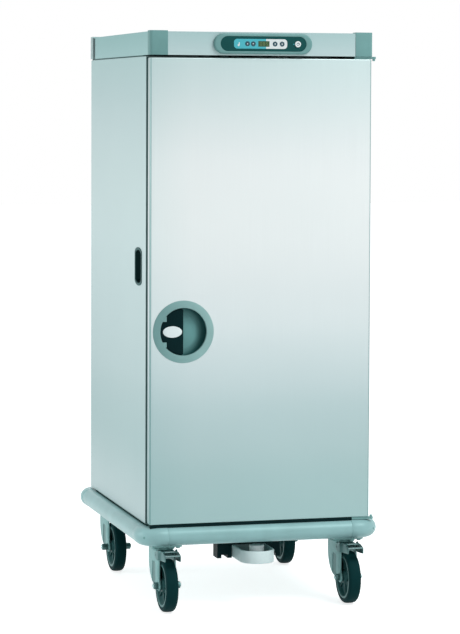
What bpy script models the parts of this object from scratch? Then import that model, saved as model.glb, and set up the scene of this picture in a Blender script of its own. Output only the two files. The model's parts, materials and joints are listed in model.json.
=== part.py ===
"""Insulated food carrier: a tall heated cabinet on four swivel castors.

Metres, with Z up from the floor, X to the right of the door and Y from the door towards the back.
"""
import math

import bmesh
import bpy
from mathutils import Matrix, Vector

# Clearances
fit = 0.0003
running_fit = 0.0004
weld_distance = 0.00001
empty_size = 0.050

# Cabinet walls
cabinet_width = 0.690
cabinet_depth = 0.838
sheet = 0.0012
side_insulation = 0.050
back_insulation = 0.048
floor_insulation = 0.040
roof_insulation = 0.040
frame_depth = 0.010

# Door
door_bottom = 0.267
door_height = 1.400
door_thickness = 0.031
door_edge_radius = 0.003
panel_step = 0.008
panel_margin = 0.050
seal_thickness = 0.028
seal_width = 0.017
seal_inset = 0.005

# Pivot hinges on the right
hinge_offset = 0.008
hinge_setback = 0.002
hinge_pin_radius = 0.004
hinge_pin_rise = 0.006
hinge_ear_radius = 0.0065
leaf_thickness = 0.0034
leaf_length = 0.053
leaf_depth = 0.028
bracket_thickness = 0.0033
bracket_depth = 0.090

# Latch
latch_from_edge = 0.1025
latch_above_door_bottom = 0.5797
latch_ring_radius = 0.094
latch_ring_proud = 0.004
latch_mouth_radius = 0.072
latch_bowl_depth = 0.024
latch_wall = 0.002
latch_sides = 32
paddle_gap = 0.0022
paddle_thickness = 0.005
paddle_corner = 0.0055
paddle_pivot_offset = 0.056
paddle_pivot_depth = 0.0045
paddle_lug_height = 0.031
paddle_lug_length = 0.015
paddle_lug_size = 0.008
paddle_lip_depth = 0.008
paddle_lip_width = 0.005
paddle_pin_radius = 0.0018
paddle_pin_root = 0.004
notch_gap = 0.001
notch_swing_gap = 0.002
bolt_drop = 0.100
bolt_travel = 0.011
bolt_length = 0.0085
bolt_depth = 0.0075
bolt_height = 0.030
bolt_cover = 0.004
strike_height = 0.018
strike_thickness = 0.004
strike_lip = 0.007
strike_seal_gap = 0.004
strike_swing_gap = 0.003

# Push grips in the sides
grip_height = 0.117
grip_width = 0.090
grip_end_bow = 0.016
grip_centre_height = 1.035
grip_setback = 0.096
grip_depth = 0.030
grip_flange = 0.006
grip_proud = 0.0015
grip_wall = 0.0025

# Crown
crown_height = 0.070
crown_overhang = 0.002
crown_sheet = 0.002
crown_rail_width = 0.030
crown_rail_inset = 0.012
corner_size = 0.054
corner_leg_front = 0.028
corner_leg_rear = 0.040
corner_proud = 0.0015
corner_rise = 0.003
corner_radius = 0.010
crown_vent_width = 0.030
corner_wall = 0.003

# Control panel
bezel_width = 0.306
bezel_height = 0.061
bezel_depth = 0.012
bezel_chamfer = 0.003
bezel_recess = 0.008
fascia_width = 0.268
fascia_height = 0.045
fascia_thickness = 0.004
fascia_sunk = 0.001
display_width = 0.035
display_height = 0.017
display_sunk = 0.0008
key_places = (-0.0505, -0.0325, 0.0355, 0.0575)
key_radius = 0.0072
key_proud = 0.0012
key_length = 0.006
switch_place = 0.1068
switch_radius = 0.0092
switch_proud = 0.004
switch_length = 0.0085
controller_width = 0.220
controller_depth = 0.100
controller_height = 0.050
inlet_width = 0.056
inlet_height = 0.046
inlet_flange = 0.003
inlet_radius = 0.018
inlet_length = 0.030
inlet_place = 0.200
inlet_corner = 0.006

# Tray racks and air duct
rack_sheet = 0.002
rack_pitch = 0.115
rack_first_level = 0.070
rack_ledge = 0.038
rack_setback = 0.030
duct_depth = 0.055
duct_sheet = 0.001
duct_width = 0.480
duct_margin = 0.040
duct_slot_length = 0.090
duct_slot_height = 0.012
duct_slot_count = 7
duct_slot_edge = 0.020
intake_hole_radius = 0.019
intake_ring_radius = 0.055
intake_hole_count = 8

# Fan and heater
fan_height = 1.000
fan_motor_radius = 0.036
fan_motor_length = 0.040
fan_motor_edge = 0.004
fan_flange_radius = 0.040
fan_flange_thickness = 0.003
fan_shaft_radius = 0.005
fan_radius = 0.070
fan_blade_depth = 0.025
fan_blade_count = 12
fan_blade_thickness = 0.0015
fan_plate_thickness = 0.002
fan_hub_radius = 0.014
fan_dish = 0.004
fan_running_gap = 0.006
heater_ring_radius = 0.095
heater_tube_radius = 0.004
heater_standoff = 0.024

# Bumper round the base
bumper_radius = 0.028
bumper_height = 0.230
bumper_side_reach = 0.008
bumper_front_inset = 0.010
bumper_back_inset = -0.024
bumper_flat = 0.027
bumper_corner_radius = 0.040
bumper_corner_leg = 0.024
bumper_neck = 0.0035
bumper_corner_proud = 0.0008
bumper_half_steps = 5
bumper_corner_steps = 4

# Chassis
chassis_bottom = 0.2002
chassis_wall = 0.004
chassis_beam = 0.200
chassis_rail = 0.130

# Castors
wheel_radius = 0.080
tyre_width = 0.038
tyre_thickness = 0.014
tyre_shoulder = 0.005
castor_side_inset = 0.0585
castor_inset = 0.0725
castor_back_inset = 0.0705
castor_trail = 0.052
castor_plate_width = 0.092
castor_plate_length = 0.110
castor_plate_thickness = 0.0047
hub_length = 0.043
hub_boss_radius = 0.019
hub_rim_thickness = 0.007
hub_rim_inset = 0.002
hub_web_half = 0.008
hub_draft = 0.002
axle_radius = 0.006
axle_nut_radius = 0.0105
axle_nut_length = 0.0165
rear_axle_nut_length = 0.0225
fork_sheet = 0.005
fork_gap = 0.045
fork_crown_height = 0.182
fork_crown_front = 0.045
fork_head_radius = 0.036
fork_head_edge = 0.002
fork_head_waist = 0.006
fork_front_reach = 0.057
fork_rear_reach = 0.070
fork_shoulder_height = 0.150
fork_curve_width = 0.074
fork_curve_height = 0.075
fork_axle_pad = 0.016
fork_pad_neck = 0.020
fork_groove_front = 0.018
fork_groove_rear = 0.020
fork_groove_top = 0.146
fork_groove_bottom = 0.060
fork_groove_depth = 0.0015
wheel_sides = 24

# Brake pedals of the front castors
pedal_sheet = 0.0025
pedal_pivot_reach = 0.030
pedal_pivot_height = 0.170
pedal_pin_radius = 0.004
pedal_eye = 0.010
pedal_reach = 0.128
pedal_front_top = 0.181
pedal_front_low = 0.163
pedal_front_half = 0.0245
pedal_heel_low = 0.157
pedal_jog_start = 0.062
pedal_jog_end = 0.070
pedal_top = 0.188
pedal_tread_depth = 0.016
pedal_bar_reach = 0.098
pedal_bar_depth = 0.010
pedal_bar_thickness = 0.003

# Tow coupling under the front
tow_width = 0.107
tow_bottom = 0.137
tow_top = 0.175
tow_wall = 0.005
tow_overhang = 0.012
tow_length = 0.185
tow_stud_radius = 0.023
tow_stud_edge = 0.002
tow_stud_top = 0.189
tow_bracket_width = 0.200
tow_bracket_setback = 0.130
tow_bracket_depth = 0.050
tow_bracket_bottom = 0.134
tow_notch_width = 0.020
tow_notch_height = 0.010

# Places that follow from the sizes above
half_width = cabinet_width / 2
door_top = door_bottom + door_height
bumper_x = half_width + bumper_side_reach
wheel_front = castor_inset - castor_trail - wheel_radius
bumper_back = cabinet_depth - bumper_back_inset + bumper_radius + bumper_corner_proud
face_y = -(wheel_front + bumper_back) / 2
back_y = face_y + cabinet_depth
door_back_y = face_y + door_thickness
body_y = door_back_y + seal_thickness
hinge_x = half_width + hinge_offset
hinge_y = face_y + hinge_setback
low_leaf_z = door_bottom - fit - leaf_thickness
high_leaf_z = door_top + fit
low_bracket_z = low_leaf_z - fit - bracket_thickness
high_bracket_z = high_leaf_z + leaf_thickness + fit
casing_bottom = low_leaf_z
casing_top = high_bracket_z - fit
crown_bottom = high_bracket_z + bracket_thickness + fit
crown_top = crown_bottom + crown_height
liner_x = half_width - sheet - side_insulation - fit
liner_back_y = back_y - sheet - back_insulation - fit
liner_floor_z = casing_bottom + sheet + floor_insulation + fit
liner_roof_z = casing_top - sheet - roof_insulation - fit
liner_front_y = body_y + frame_depth + fit
room_x = liner_x - sheet
room_back_y = liner_back_y - sheet
room_floor_z = liner_floor_z + sheet
room_roof_z = liner_roof_z - sheet
rack_room = room_roof_z - room_floor_z - rack_first_level - rack_pitch / 2
rack_levels = 1 + int(rack_room / rack_pitch)
rack_split = (rack_levels + 1) // 2
latch_x = -half_width + latch_from_edge
latch_z = door_bottom + latch_above_door_bottom
paddle_x = latch_x - paddle_pivot_offset
paddle_y = face_y + paddle_pivot_depth
paddle_radius = latch_mouth_radius - paddle_gap
bolt_y = door_back_y - sheet - 2 * fit - bolt_depth - bolt_cover
strike_y = bolt_y - fit - strike_thickness
strike_x = -half_width + seal_inset + seal_width + strike_seal_gap
strike_z = latch_z - bolt_drop
bolt_x = strike_x + strike_thickness + fit
chassis_top = casing_bottom - fit
chassis_x = bumper_x - bumper_flat - fit
bumper_front_y = face_y + bumper_front_inset
bumper_back_y = back_y - bumper_back_inset
chassis_front_y = bumper_front_y + bumper_flat + fit
chassis_back_y = bumper_back_y - bumper_flat - fit
castor_spread = half_width - castor_side_inset
castor_front_y = face_y + castor_inset
castor_back_y = back_y - castor_back_inset
castor_plate_bottom = chassis_bottom - castor_plate_thickness
panel_z = crown_bottom + crown_height / 2
panel_y = face_y - crown_overhang - fit
bezel_front_y = panel_y - bezel_depth
fascia_front_y = bezel_front_y + fascia_sunk

for old in list(bpy.data.objects):
    bpy.data.objects.remove(old)

parts = bpy.data.collections.new("insulated_food_carrier")
cutters = bpy.data.collections.new("cutters")
bpy.context.scene.collection.children.link(parts)
bpy.context.scene.collection.children.link(cutters)

# Colour, roughness and metallic value of each finish
finishes = {
    "stainless": ((0.66, 0.74, 0.74), 0.35, 1.0),
    "inner_stainless": ((0.60, 0.65, 0.65), 0.30, 1.0),
    "aluminium": ((0.62, 0.72, 0.72), 0.40, 1.0),
    "teal_plastic": ((0.20, 0.36, 0.35), 0.50, 0.0),
    "bumper_plastic": ((0.32, 0.48, 0.48), 0.45, 0.0),
    "black_plastic": ((0.012, 0.020, 0.020), 0.45, 0.0),
    "dark_fascia": ((0.030, 0.070, 0.070), 0.30, 0.0),
    "key_plastic": ((0.030, 0.080, 0.110), 0.40, 0.0),
    "white_plastic": ((0.75, 0.80, 0.80), 0.40, 0.0),
    "pale_plastic": ((0.55, 0.66, 0.66), 0.45, 0.0),
    "seal_rubber": ((0.060, 0.100, 0.100), 0.70, 0.0),
    "tyre_rubber": ((0.010, 0.030, 0.030), 0.75, 0.0),
    "hub_plastic": ((0.060, 0.120, 0.120), 0.50, 0.0),
    "zinc": ((0.42, 0.54, 0.53), 0.40, 1.0),
    "foam": ((0.80, 0.74, 0.55), 0.90, 0.0),
    "heater_steel": ((0.30, 0.28, 0.26), 0.45, 1.0),
}
looks = {}
for finish_name, (colour, roughness, metallic) in finishes.items():
    look = bpy.data.materials.new(finish_name)
    look.use_nodes = True
    shader = look.node_tree.nodes["Principled BSDF"]
    shader.inputs["Base Color"].default_value = (*colour, 1.0)
    shader.inputs["Roughness"].default_value = roughness
    shader.inputs["Metallic"].default_value = metallic
    looks[finish_name] = look


def add_object(name, mesh, finish):
    """Link a mesh as one named piece with its finish."""
    piece = bpy.data.objects.new(name, mesh)
    parts.objects.link(piece)
    if finish:
        mesh.materials.append(looks[finish])
    return piece


def mesh_from(name, shape):
    """Close a bmesh into a mesh with its faces pointing out."""
    bmesh.ops.recalc_face_normals(shape, faces=shape.faces)
    mesh = bpy.data.meshes.new(name)
    shape.to_mesh(mesh)
    shape.free()
    return mesh


def box(name, low, high, finish=None):
    """A box between two corners."""
    shape = bmesh.new()
    bmesh.ops.create_cube(shape, size=1.0)
    size = Vector(high) - Vector(low)
    bmesh.ops.scale(shape, vec=size, verts=shape.verts)
    bmesh.ops.translate(shape, vec=Vector(low) + size / 2, verts=shape.verts)
    return add_object(name, mesh_from(name, shape), finish)


def open_box(name, low, high, open_side, wall, finish):
    """A folded sheet box without the face whose outward direction is open_side."""
    piece = box(name, low, high, finish)
    shape = bmesh.new()
    shape.from_mesh(piece.data)
    shape.normal_update()
    missing = [face for face in shape.faces if face.normal.dot(Vector(open_side)) > 0.9]
    bmesh.ops.delete(shape, geom=missing, context="FACES_ONLY")
    shape.to_mesh(piece.data)
    shape.free()
    shell = piece.modifiers.new("sheet", "SOLIDIFY")
    shell.thickness = wall
    shell.offset = -1.0
    shell.use_even_offset = True
    return piece


def prism(name, points, axis, low, high, finish=None):
    """A flat outline with thickness from low to high along an axis.

    The outline is in (y, z) along X, in (x, z) along Y and in (x, y) along Z.
    """
    def place(across, along, level):
        return {"X": (level, across, along), "Y": (across, level, along), "Z": (across, along, level)}[axis]

    ends = [[place(across, along, level) for across, along in points] for level in (low, high)]
    return loft(name, ends, finish, False)


def curve_to_piece(name, curve, finish):
    """Turn a curve into a welded mesh piece and remove the curve."""
    source = bpy.data.objects.new(name + "_curve", curve)
    parts.objects.link(source)
    bpy.context.view_layer.update()
    ready = source.evaluated_get(bpy.context.evaluated_depsgraph_get())
    mesh = bpy.data.meshes.new_from_object(ready)
    bpy.data.objects.remove(source)
    shape = bmesh.new()
    shape.from_mesh(mesh)
    bmesh.ops.remove_doubles(shape, verts=shape.verts, dist=weld_distance)
    return add_object(name, mesh_from(name, shape), finish)


def turned(name, profile, place, axis, sides, finish=None, ring=False, turn=0.0):
    """A (radius, height) profile turned about an axis through place.

    The profile runs down its outer side, and a ring's profile closes on itself.
    """
    count = len(profile)
    edges = [(i, i + 1) for i in range(count - 1)]
    if ring:
        edges.append((count - 1, 0))
    mesh = bpy.data.meshes.new(name)
    mesh.from_pydata([(radius, 0.0, height) for radius, height in profile], edges, [])
    piece = add_object(name, mesh, finish)
    spin = piece.modifiers.new("turn", "SCREW")
    spin.axis = "Z"
    spin.angle = 2 * math.pi
    spin.steps = sides
    spin.render_steps = sides
    spin.use_merge_vertices = True
    spin.merge_threshold = weld_distance
    tilt = {"X": Matrix.Rotation(math.pi / 2, 4, "Y"), "Y": Matrix.Rotation(-math.pi / 2, 4, "X"),
            "Z": Matrix.Identity(4)}[axis]
    piece.matrix_world = Matrix.Translation(place) @ tilt @ Matrix.Rotation(turn, 4, "Z")
    return piece


def rod(name, radius, place, axis, length, sides, finish=None, turn=0.0):
    """A round rod of a length along an axis, starting at place."""
    profile = ((0.0, length), (radius, length), (radius, 0.0), (0.0, 0.0))
    return turned(name, profile, place, axis, sides, finish, turn=turn)


def combine(piece, operation, tools):
    """Cut or join a piece with tools, which stay as editable cutters."""
    for tool in tools:
        step = piece.modifiers.new(tool.name, "BOOLEAN")
        step.operation = operation
        step.solver = "EXACT"
        step.object = tool
        parts.objects.unlink(tool)
        cutters.objects.link(tool)
        tool.hide_render = True
        tool.display_type = "WIRE"
    return piece


def cut(piece, *tools):
    return combine(piece, "DIFFERENCE", tools)


def join(piece, *tools):
    return combine(piece, "UNION", tools)


def round_edges(piece, width, segments=2):
    """Round every edge sharper than 40 degrees."""
    edge = piece.modifiers.new("rounded edges", "BEVEL")
    edge.width = width
    edge.segments = segments
    edge.limit_method = "ANGLE"
    edge.angle_limit = math.radians(40)
    edge.use_clamp_overlap = True
    return piece


def arc(centre, radius, start, end, steps):
    """Points on an arc, in degrees from start to end."""
    angles = [math.radians(start + (end - start) * i / steps) for i in range(steps + 1)]
    return [(centre[0] + radius * math.cos(a), centre[1] + radius * math.sin(a)) for a in angles]


def rounded_rectangle(low, high, radius, steps=4):
    """A rectangle with four equal round corners."""
    right_top = arc((high[0] - radius, high[1] - radius), radius, 0, 90, steps)
    left_top = arc((low[0] + radius, high[1] - radius), radius, 90, 180, steps)
    left_low = arc((low[0] + radius, low[1] + radius), radius, 180, 270, steps)
    right_low = arc((high[0] - radius, low[1] + radius), radius, 270, 360, steps)
    return right_top + left_top + left_low + right_low


def stadium(centre, width, height, steps=8):
    """A flat oval with straight long sides."""
    half = width / 2 - height / 2
    right = arc((centre[0] + half, centre[1]), height / 2, -90, 90, steps)
    left = arc((centre[0] - half, centre[1]), height / 2, 90, 270, steps)
    return right + left


def loft(name, rings, finish, closed):
    """A solid through rings of equally many points."""
    shape = bmesh.new()
    loops = [[shape.verts.new(point) for point in ring] for ring in rings]
    following = loops[1:] + loops[:1] if closed else loops[1:]
    for near, far in zip(loops, following):
        for i in range(len(near)):
            shape.faces.new((near[i - 1], near[i], far[i], far[i - 1]))
    if not closed:
        shape.faces.new(loops[0])
        shape.faces.new(loops[-1])
    return add_object(name, mesh_from(name, shape), finish)


def joint_empty(name, place, parent=None):
    """An empty on a joint's axis that carries the pieces of a moving body."""
    empty = bpy.data.objects.new(name, None)
    parts.objects.link(empty)
    empty.empty_display_size = empty_size
    empty.location = place
    bpy.context.view_layer.update()
    if parent:
        carry(parent, empty)
    return empty


def carry(empty, *pieces):
    """Parent pieces to a joint's empty and keep them where they are."""
    bpy.context.view_layer.update()
    for piece in pieces:
        kept = piece.matrix_world.copy()
        piece.parent = empty
        piece.matrix_parent_inverse = empty.matrix_world.inverted()
        piece.matrix_world = kept


def grip_outline(inset):
    """The outline of a push grip in (y, z), with bowed ends, drawn in by an inset."""
    middle_y = body_y + grip_setback
    half_y = grip_width / 2 - inset
    half_z = grip_height / 2 - inset
    radius = (half_y ** 2 + grip_end_bow ** 2) / (2 * grip_end_bow)
    spread = math.degrees(math.asin(half_y / radius))
    upper = arc((middle_y, grip_centre_height + half_z - radius), radius, 90 - spread, 90 + spread, 10)
    lower = arc((middle_y, grip_centre_height - half_z + radius), radius, 270 - spread, 270 + spread, 10)
    return upper + lower


def side_span(side, start, end):
    """Two X places on one side, measured outwards from the middle, low one first."""
    return tuple(sorted((side * start, side * end)))


def build_cabinet():
    """Casing, insulation, liner and front frame."""
    casing = open_box("outer_casing", (-half_width, body_y, casing_bottom), (half_width, back_y, casing_top),
                      (0, -1, 0), sheet, "stainless")
    core = box("insulation_core",
               (-half_width + sheet + fit, liner_front_y, casing_bottom + sheet + fit),
               (half_width - sheet - fit, back_y - sheet - fit, casing_top - sheet - fit), "foam")
    room = box("insulation_room", (-liner_x - fit, body_y, liner_floor_z - fit),
               (liner_x + fit, liner_back_y + fit, liner_roof_z + fit))
    cut(core, room)
    liner = open_box("inner_liner", (-liner_x, liner_front_y, liner_floor_z),
                     (liner_x, liner_back_y, liner_roof_z), (0, -1, 0), sheet, "inner_stainless")
    motor_y = liner_back_y + fit
    pocket_start = (0, motor_y - back_insulation / 2, fan_height)
    cut(core, rod("motor_pocket", fan_flange_radius + fit, pocket_start, "Y",
                  back_insulation / 2 + fan_motor_length + fit, 18))
    cut(liner, rod("shaft_hole", fan_shaft_radius + running_fit, (0, room_back_y - sheet, fan_height), "Y",
                   3 * sheet, 16))
    for side, label in ((-1, "left"), (1, "right")):
        low, high = side_span(side, half_width - grip_depth - fit, half_width + sheet)
        pocket = prism("grip_pocket_" + label, grip_outline(grip_flange - fit), "X", low, high)
        cut(core, pocket)
        opening = prism("grip_opening_" + label, grip_outline(grip_flange - fit), "X", low, high)
        cut(casing, opening)

    frame = box("front_frame", (-half_width + sheet + fit, body_y, casing_bottom + sheet + fit),
                (half_width - sheet - fit, body_y + frame_depth, casing_top - sheet - fit), "black_plastic")
    cut(frame, box("frame_opening", (-room_x, body_y - sheet, room_floor_z),
                   (room_x, liner_front_y + sheet, room_roof_z)))
    root_y = body_y + frame_depth / 2
    post_x = strike_x + strike_thickness
    join(frame, prism("strike", ((strike_x, root_y), (post_x, root_y), (post_x, strike_y + strike_thickness),
                                 (post_x + strike_lip, strike_y + strike_thickness),
                                 (post_x + strike_lip, strike_y), (strike_x, strike_y)),
                      "Z", strike_z - strike_height / 2, strike_z + strike_height / 2))


def build_grips():
    """Recessed push grips, one in each side."""
    for side, label in ((-1, "left"), (1, "right")):
        low, high = side_span(side, half_width - grip_depth, half_width + grip_proud)
        cup = prism("grip_cup_" + label, grip_outline(grip_flange), "X", low, high, "black_plastic")
        low, high = side_span(side, half_width + fit, half_width + grip_proud)
        join(cup, prism("grip_rim_" + label, grip_outline(0.0), "X", low, high))
        low, high = side_span(side, half_width - grip_depth + grip_wall, half_width + 2 * grip_proud)
        cut(cup, prism("grip_hollow_" + label, grip_outline(grip_flange + grip_wall), "X", low, high))


def rack_level(level):
    """Height of a ledge's underside."""
    return room_floor_z + fit + rack_first_level + level * rack_pitch


def build_rack(section, levels, bottom_z, rear_y):
    """One section of the racks on both walls: a sheet folded into a ledge at each level."""
    wall = room_x - fit
    face = wall - rack_sheet
    top_z = rack_level(levels[-1]) + rack_pitch / 2
    points = [(wall, bottom_z), (wall, top_z), (face, top_z)]
    for level in reversed(levels):
        ledge_z = rack_level(level)
        points += [(face, ledge_z + rack_sheet), (face - rack_ledge, ledge_z + rack_sheet),
                   (face - rack_ledge, ledge_z), (face, ledge_z)]
    points.append((face, bottom_z))
    for side, label in ((-1, "left"), (1, "right")):
        prism("tray_rack_%s_%s" % (label, section), [(side * x, z) for x, z in points], "Y",
              liner_front_y + rack_setback, rear_y, "inner_stainless")


def build_inside():
    """Tray racks, air duct, fan and heater."""
    duct_y = room_back_y - duct_depth
    build_rack("lower", range(rack_split), room_floor_z + fit, duct_y - fit)
    build_rack("upper", range(rack_split, rack_levels), rack_level(rack_split) - rack_pitch / 2 + fit,
               duct_y - fit)

    low_z = room_floor_z + duct_margin
    high_z = room_roof_z - duct_margin
    duct = open_box("duct_panel", (-duct_width / 2, duct_y, low_z),
                    (duct_width / 2, room_back_y - fit, high_z), (0, 1, 0), duct_sheet, "inner_stainless")
    slot_step = (high_z - low_z) / duct_slot_count
    for side, label in ((-1, "left"), (1, "right")):
        slot_low, slot_high = side_span(side, duct_width / 2 - duct_slot_edge - duct_slot_length,
                                        duct_width / 2 - duct_slot_edge)
        for i in range(duct_slot_count):
            slot_z = low_z + slot_step * (i + 0.5)
            outline = stadium(((slot_low + slot_high) / 2, slot_z), duct_slot_length, duct_slot_height, 2)
            cut(duct, prism("duct_slot_%s_%d" % (label, i), outline, "Y", duct_y - sheet, duct_y + 3 * sheet))
    for i in range(intake_hole_count + 1):
        angle = 2 * math.pi * i / intake_hole_count
        reach = intake_ring_radius if i < intake_hole_count else 0.0
        spot = (reach * math.cos(angle), duct_y - sheet, fan_height + reach * math.sin(angle))
        cut(duct, rod("intake_hole_%d" % i, intake_hole_radius, spot, "Y", 4 * sheet, 10))

    motor_y = liner_back_y + fit
    plate_y = room_back_y - fan_running_gap
    tip_y = plate_y - fan_plate_thickness - fan_blade_depth / 2
    turned("fan_motor", (
        (0.0, fan_motor_length), (fan_motor_radius - fan_motor_edge, fan_motor_length),
        (fan_motor_radius, fan_motor_length - fan_motor_edge), (fan_motor_radius, fan_flange_thickness),
        (fan_flange_radius, fan_flange_thickness), (fan_flange_radius, 0.0), (fan_shaft_radius, 0.0),
        (fan_shaft_radius, tip_y - motor_y), (0.0, tip_y - motor_y)),
        (0, motor_y, fan_height), "Y", 18, "zinc")
    hub_end = -fan_plate_thickness - fan_blade_depth * 0.8
    wheel = turned("fan_impeller", (
        (fan_hub_radius, fan_dish), (fan_radius, 0.0), (fan_radius, -fan_plate_thickness),
        (fan_hub_radius, -fan_plate_thickness), (fan_hub_radius, hub_end),
        (fan_shaft_radius + fit, hub_end), (fan_shaft_radius + fit, fan_dish)),
        (0, plate_y, fan_height), "Y", 20, "zinc", ring=True)
    for i in range(fan_blade_count):
        blade = box("fan_blade_%d" % i, (fan_radius * 0.62, -fan_plate_thickness - fan_blade_depth,
                                         -fan_blade_thickness / 2),
                    (fan_radius * 0.97, -fan_plate_thickness / 2, fan_blade_thickness / 2))
        blade.matrix_world = (Matrix.Translation((0, plate_y, fan_height))
                              @ Matrix.Rotation(2 * math.pi * i / fan_blade_count, 4, "Y"))
        join(wheel, blade)
    carry(joint_empty("fan_axis", (0, plate_y, fan_height)), wheel)

    heater = bpy.data.curves.new("heater_element", "CURVE")
    heater.dimensions = "3D"
    heater.bevel_depth = heater_tube_radius
    heater.bevel_resolution = 1
    heater.use_fill_caps = True
    ring_y = room_back_y - heater_standoff
    path = [(x, ring_y, fan_height + z) for x, z in arc((0, 0), heater_ring_radius, -80, 260, 20)]
    first = Vector(path[0])
    last = Vector(path[-1])
    leg = Vector((0, heater_standoff - fit, 0))
    path = [first + leg] + path + [last + leg]
    spline = heater.splines.new("POLY")
    spline.points.add(len(path) - 1)
    for spot, place in zip(spline.points, path):
        spot.co = (*place, 1.0)
    curve_to_piece("heater_element", heater, "heater_steel")


def build_crown():
    """Lid with its skirts, corner mouldings, control panel, controller and inlet."""
    front_y = face_y - crown_overhang
    rear_y = back_y + crown_overhang
    side_x = half_width + crown_overhang
    lid = open_box("crown_cover", (-side_x, front_y, crown_bottom), (side_x, rear_y, crown_top),
                   (0, 0, -1), crown_sheet, "aluminium")
    for side, label in ((-1, "left"), (1, "right")):
        low, high = side_span(side, half_width - crown_rail_inset - crown_rail_width,
                              half_width - crown_rail_inset)
        join(lid, box("lid_rail_" + label, (low, body_y + bracket_depth, casing_top + fit),
                      (high, rear_y - corner_size - crown_rail_width, crown_top - crown_sheet / 2)))
    for side, label in ((-1, "left"), (1, "right")):
        vent_low, vent_high = side_span(side, side_x - 2 * crown_sheet, side_x + crown_sheet)
        vent_y = rear_y - corner_leg_rear + fit
        cut(lid, box("crown_vent_" + label, (vent_low, vent_y - crown_vent_width, crown_bottom - crown_sheet),
                     (vent_high, vent_y, crown_top - crown_sheet)))
        for end, place, inward, leg in (("front", front_y, 1, corner_leg_front),
                                        ("rear", rear_y, -1, corner_leg_rear)):
            name = "%s_%s" % (end, label)
            inner_x = side_x - corner_size
            inner_y = place + inward * leg
            low, high = side_span(side, inner_x, side_x + crown_sheet)
            ends = sorted((inner_y, place - inward * crown_sheet))
            cut(lid, box("corner_notch_" + name, (low, ends[0], crown_bottom - crown_sheet),
                         (high, ends[1], crown_top + crown_sheet)))
            build_crown_corner(name, side, inward, place, inner_x, inner_y)

    bezel = prism("control_bezel", stadium((0, panel_z), bezel_width, bezel_height), "Y",
                  bezel_front_y, panel_y, "teal_plastic")
    round_edges(bezel, bezel_chamfer)
    cut(bezel, prism("bezel_recess", stadium((0, panel_z), fascia_width, fascia_height), "Y",
                     bezel_front_y - bezel_depth, bezel_front_y + bezel_recess))
    fascia = prism("control_fascia", stadium((0, panel_z), fascia_width - 2 * fit, fascia_height - 2 * fit),
                   "Y", fascia_front_y, fascia_front_y + fascia_thickness, "dark_fascia")
    cut(fascia, box("display_recess",
                    (-display_width / 2, fascia_front_y - sheet, panel_z - display_height / 2),
                    (display_width / 2, fascia_front_y + display_sunk, panel_z + display_height / 2)))
    for i, place in enumerate(key_places):
        key = rod("key_%d" % (i + 1), key_radius, (place, fascia_front_y - key_proud, panel_z), "Y",
                  key_length, 16, "key_plastic")
        add_button(fascia, key, place, key_radius)
    switch = turned("main_switch", (
        (0.0, switch_length), (switch_radius, switch_length), (switch_radius, switch_proud * 0.5),
        (switch_radius * 0.85, 0.0), (switch_radius * 0.5, 0.0), (0.0, switch_proud * 0.2)),
        (switch_place, fascia_front_y - switch_proud, panel_z), "Y", 16, "white_plastic")
    add_button(fascia, switch, switch_place, switch_radius)

    housing_y = body_y + frame_depth
    join(lid, box("controller_housing",
                  (-controller_width / 2, housing_y, crown_top - crown_sheet - controller_height),
                  (controller_width / 2, housing_y + controller_depth, crown_top - crown_sheet / 2)))

    inlet_z = panel_z
    inlet = prism("mains_inlet", rounded_rectangle(
        (inlet_place - inlet_width / 2, inlet_z - inlet_height / 2),
        (inlet_place + inlet_width / 2, inlet_z + inlet_height / 2), inlet_corner, 3),
        "Y", rear_y + fit, rear_y + fit + inlet_flange, "black_plastic")
    join(inlet, rod("inlet_body", inlet_radius, (inlet_place, rear_y + fit + inlet_flange / 2 - inlet_length,
                                                 inlet_z), "Y", inlet_length, 16))
    cut(inlet, rod("inlet_hollow", inlet_radius - inlet_flange,
                   (inlet_place, rear_y + inlet_flange - inlet_length, inlet_z), "Y", 2 * inlet_length, 16))
    cut(lid, rod("inlet_hole", inlet_radius + fit, (inlet_place, rear_y - inlet_length / 2, inlet_z), "Y",
                 inlet_length, 16))


def build_crown_corner(name, side, inward, place, inner_x, inner_y):
    """A plastic corner of the crown: a hollow block with a round outer edge."""
    outer_x = half_width + crown_overhang + corner_proud
    outer_y = place - inward * corner_proud

    def outline(inset):
        near_x = inner_x + fit + inset
        near_y = inner_y - inward * (fit + inset)
        far_x = outer_x - inset
        far_y = outer_y + inward * inset
        radius = corner_radius - inset
        curved = arc((far_x - radius, far_y + inward * radius), radius, 0, -90 * inward, 5)
        points = [(near_x, near_y), (far_x, near_y)] + curved + [(near_x, far_y)]
        return [(side * x, y) for x, y in points]

    block = prism("crown_corner_" + name, outline(0.0), "Z", crown_bottom, crown_top + corner_rise,
                  "teal_plastic")
    cut(block, prism("corner_hollow_" + name, outline(corner_wall), "Z", crown_bottom - corner_wall,
                     crown_top + corner_rise - corner_wall))


def add_button(fascia, button, place, radius):
    """Let a button run in its own hole of the fascia."""
    hole = rod("hole_for_" + button.name, radius + fit, (place, fascia_front_y - fascia_thickness, panel_z),
               "Y", 3 * fascia_thickness, 16)
    cut(fascia, hole)
    carry(joint_empty("axis_of_" + button.name, (place, fascia_front_y, panel_z)), button)


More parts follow.
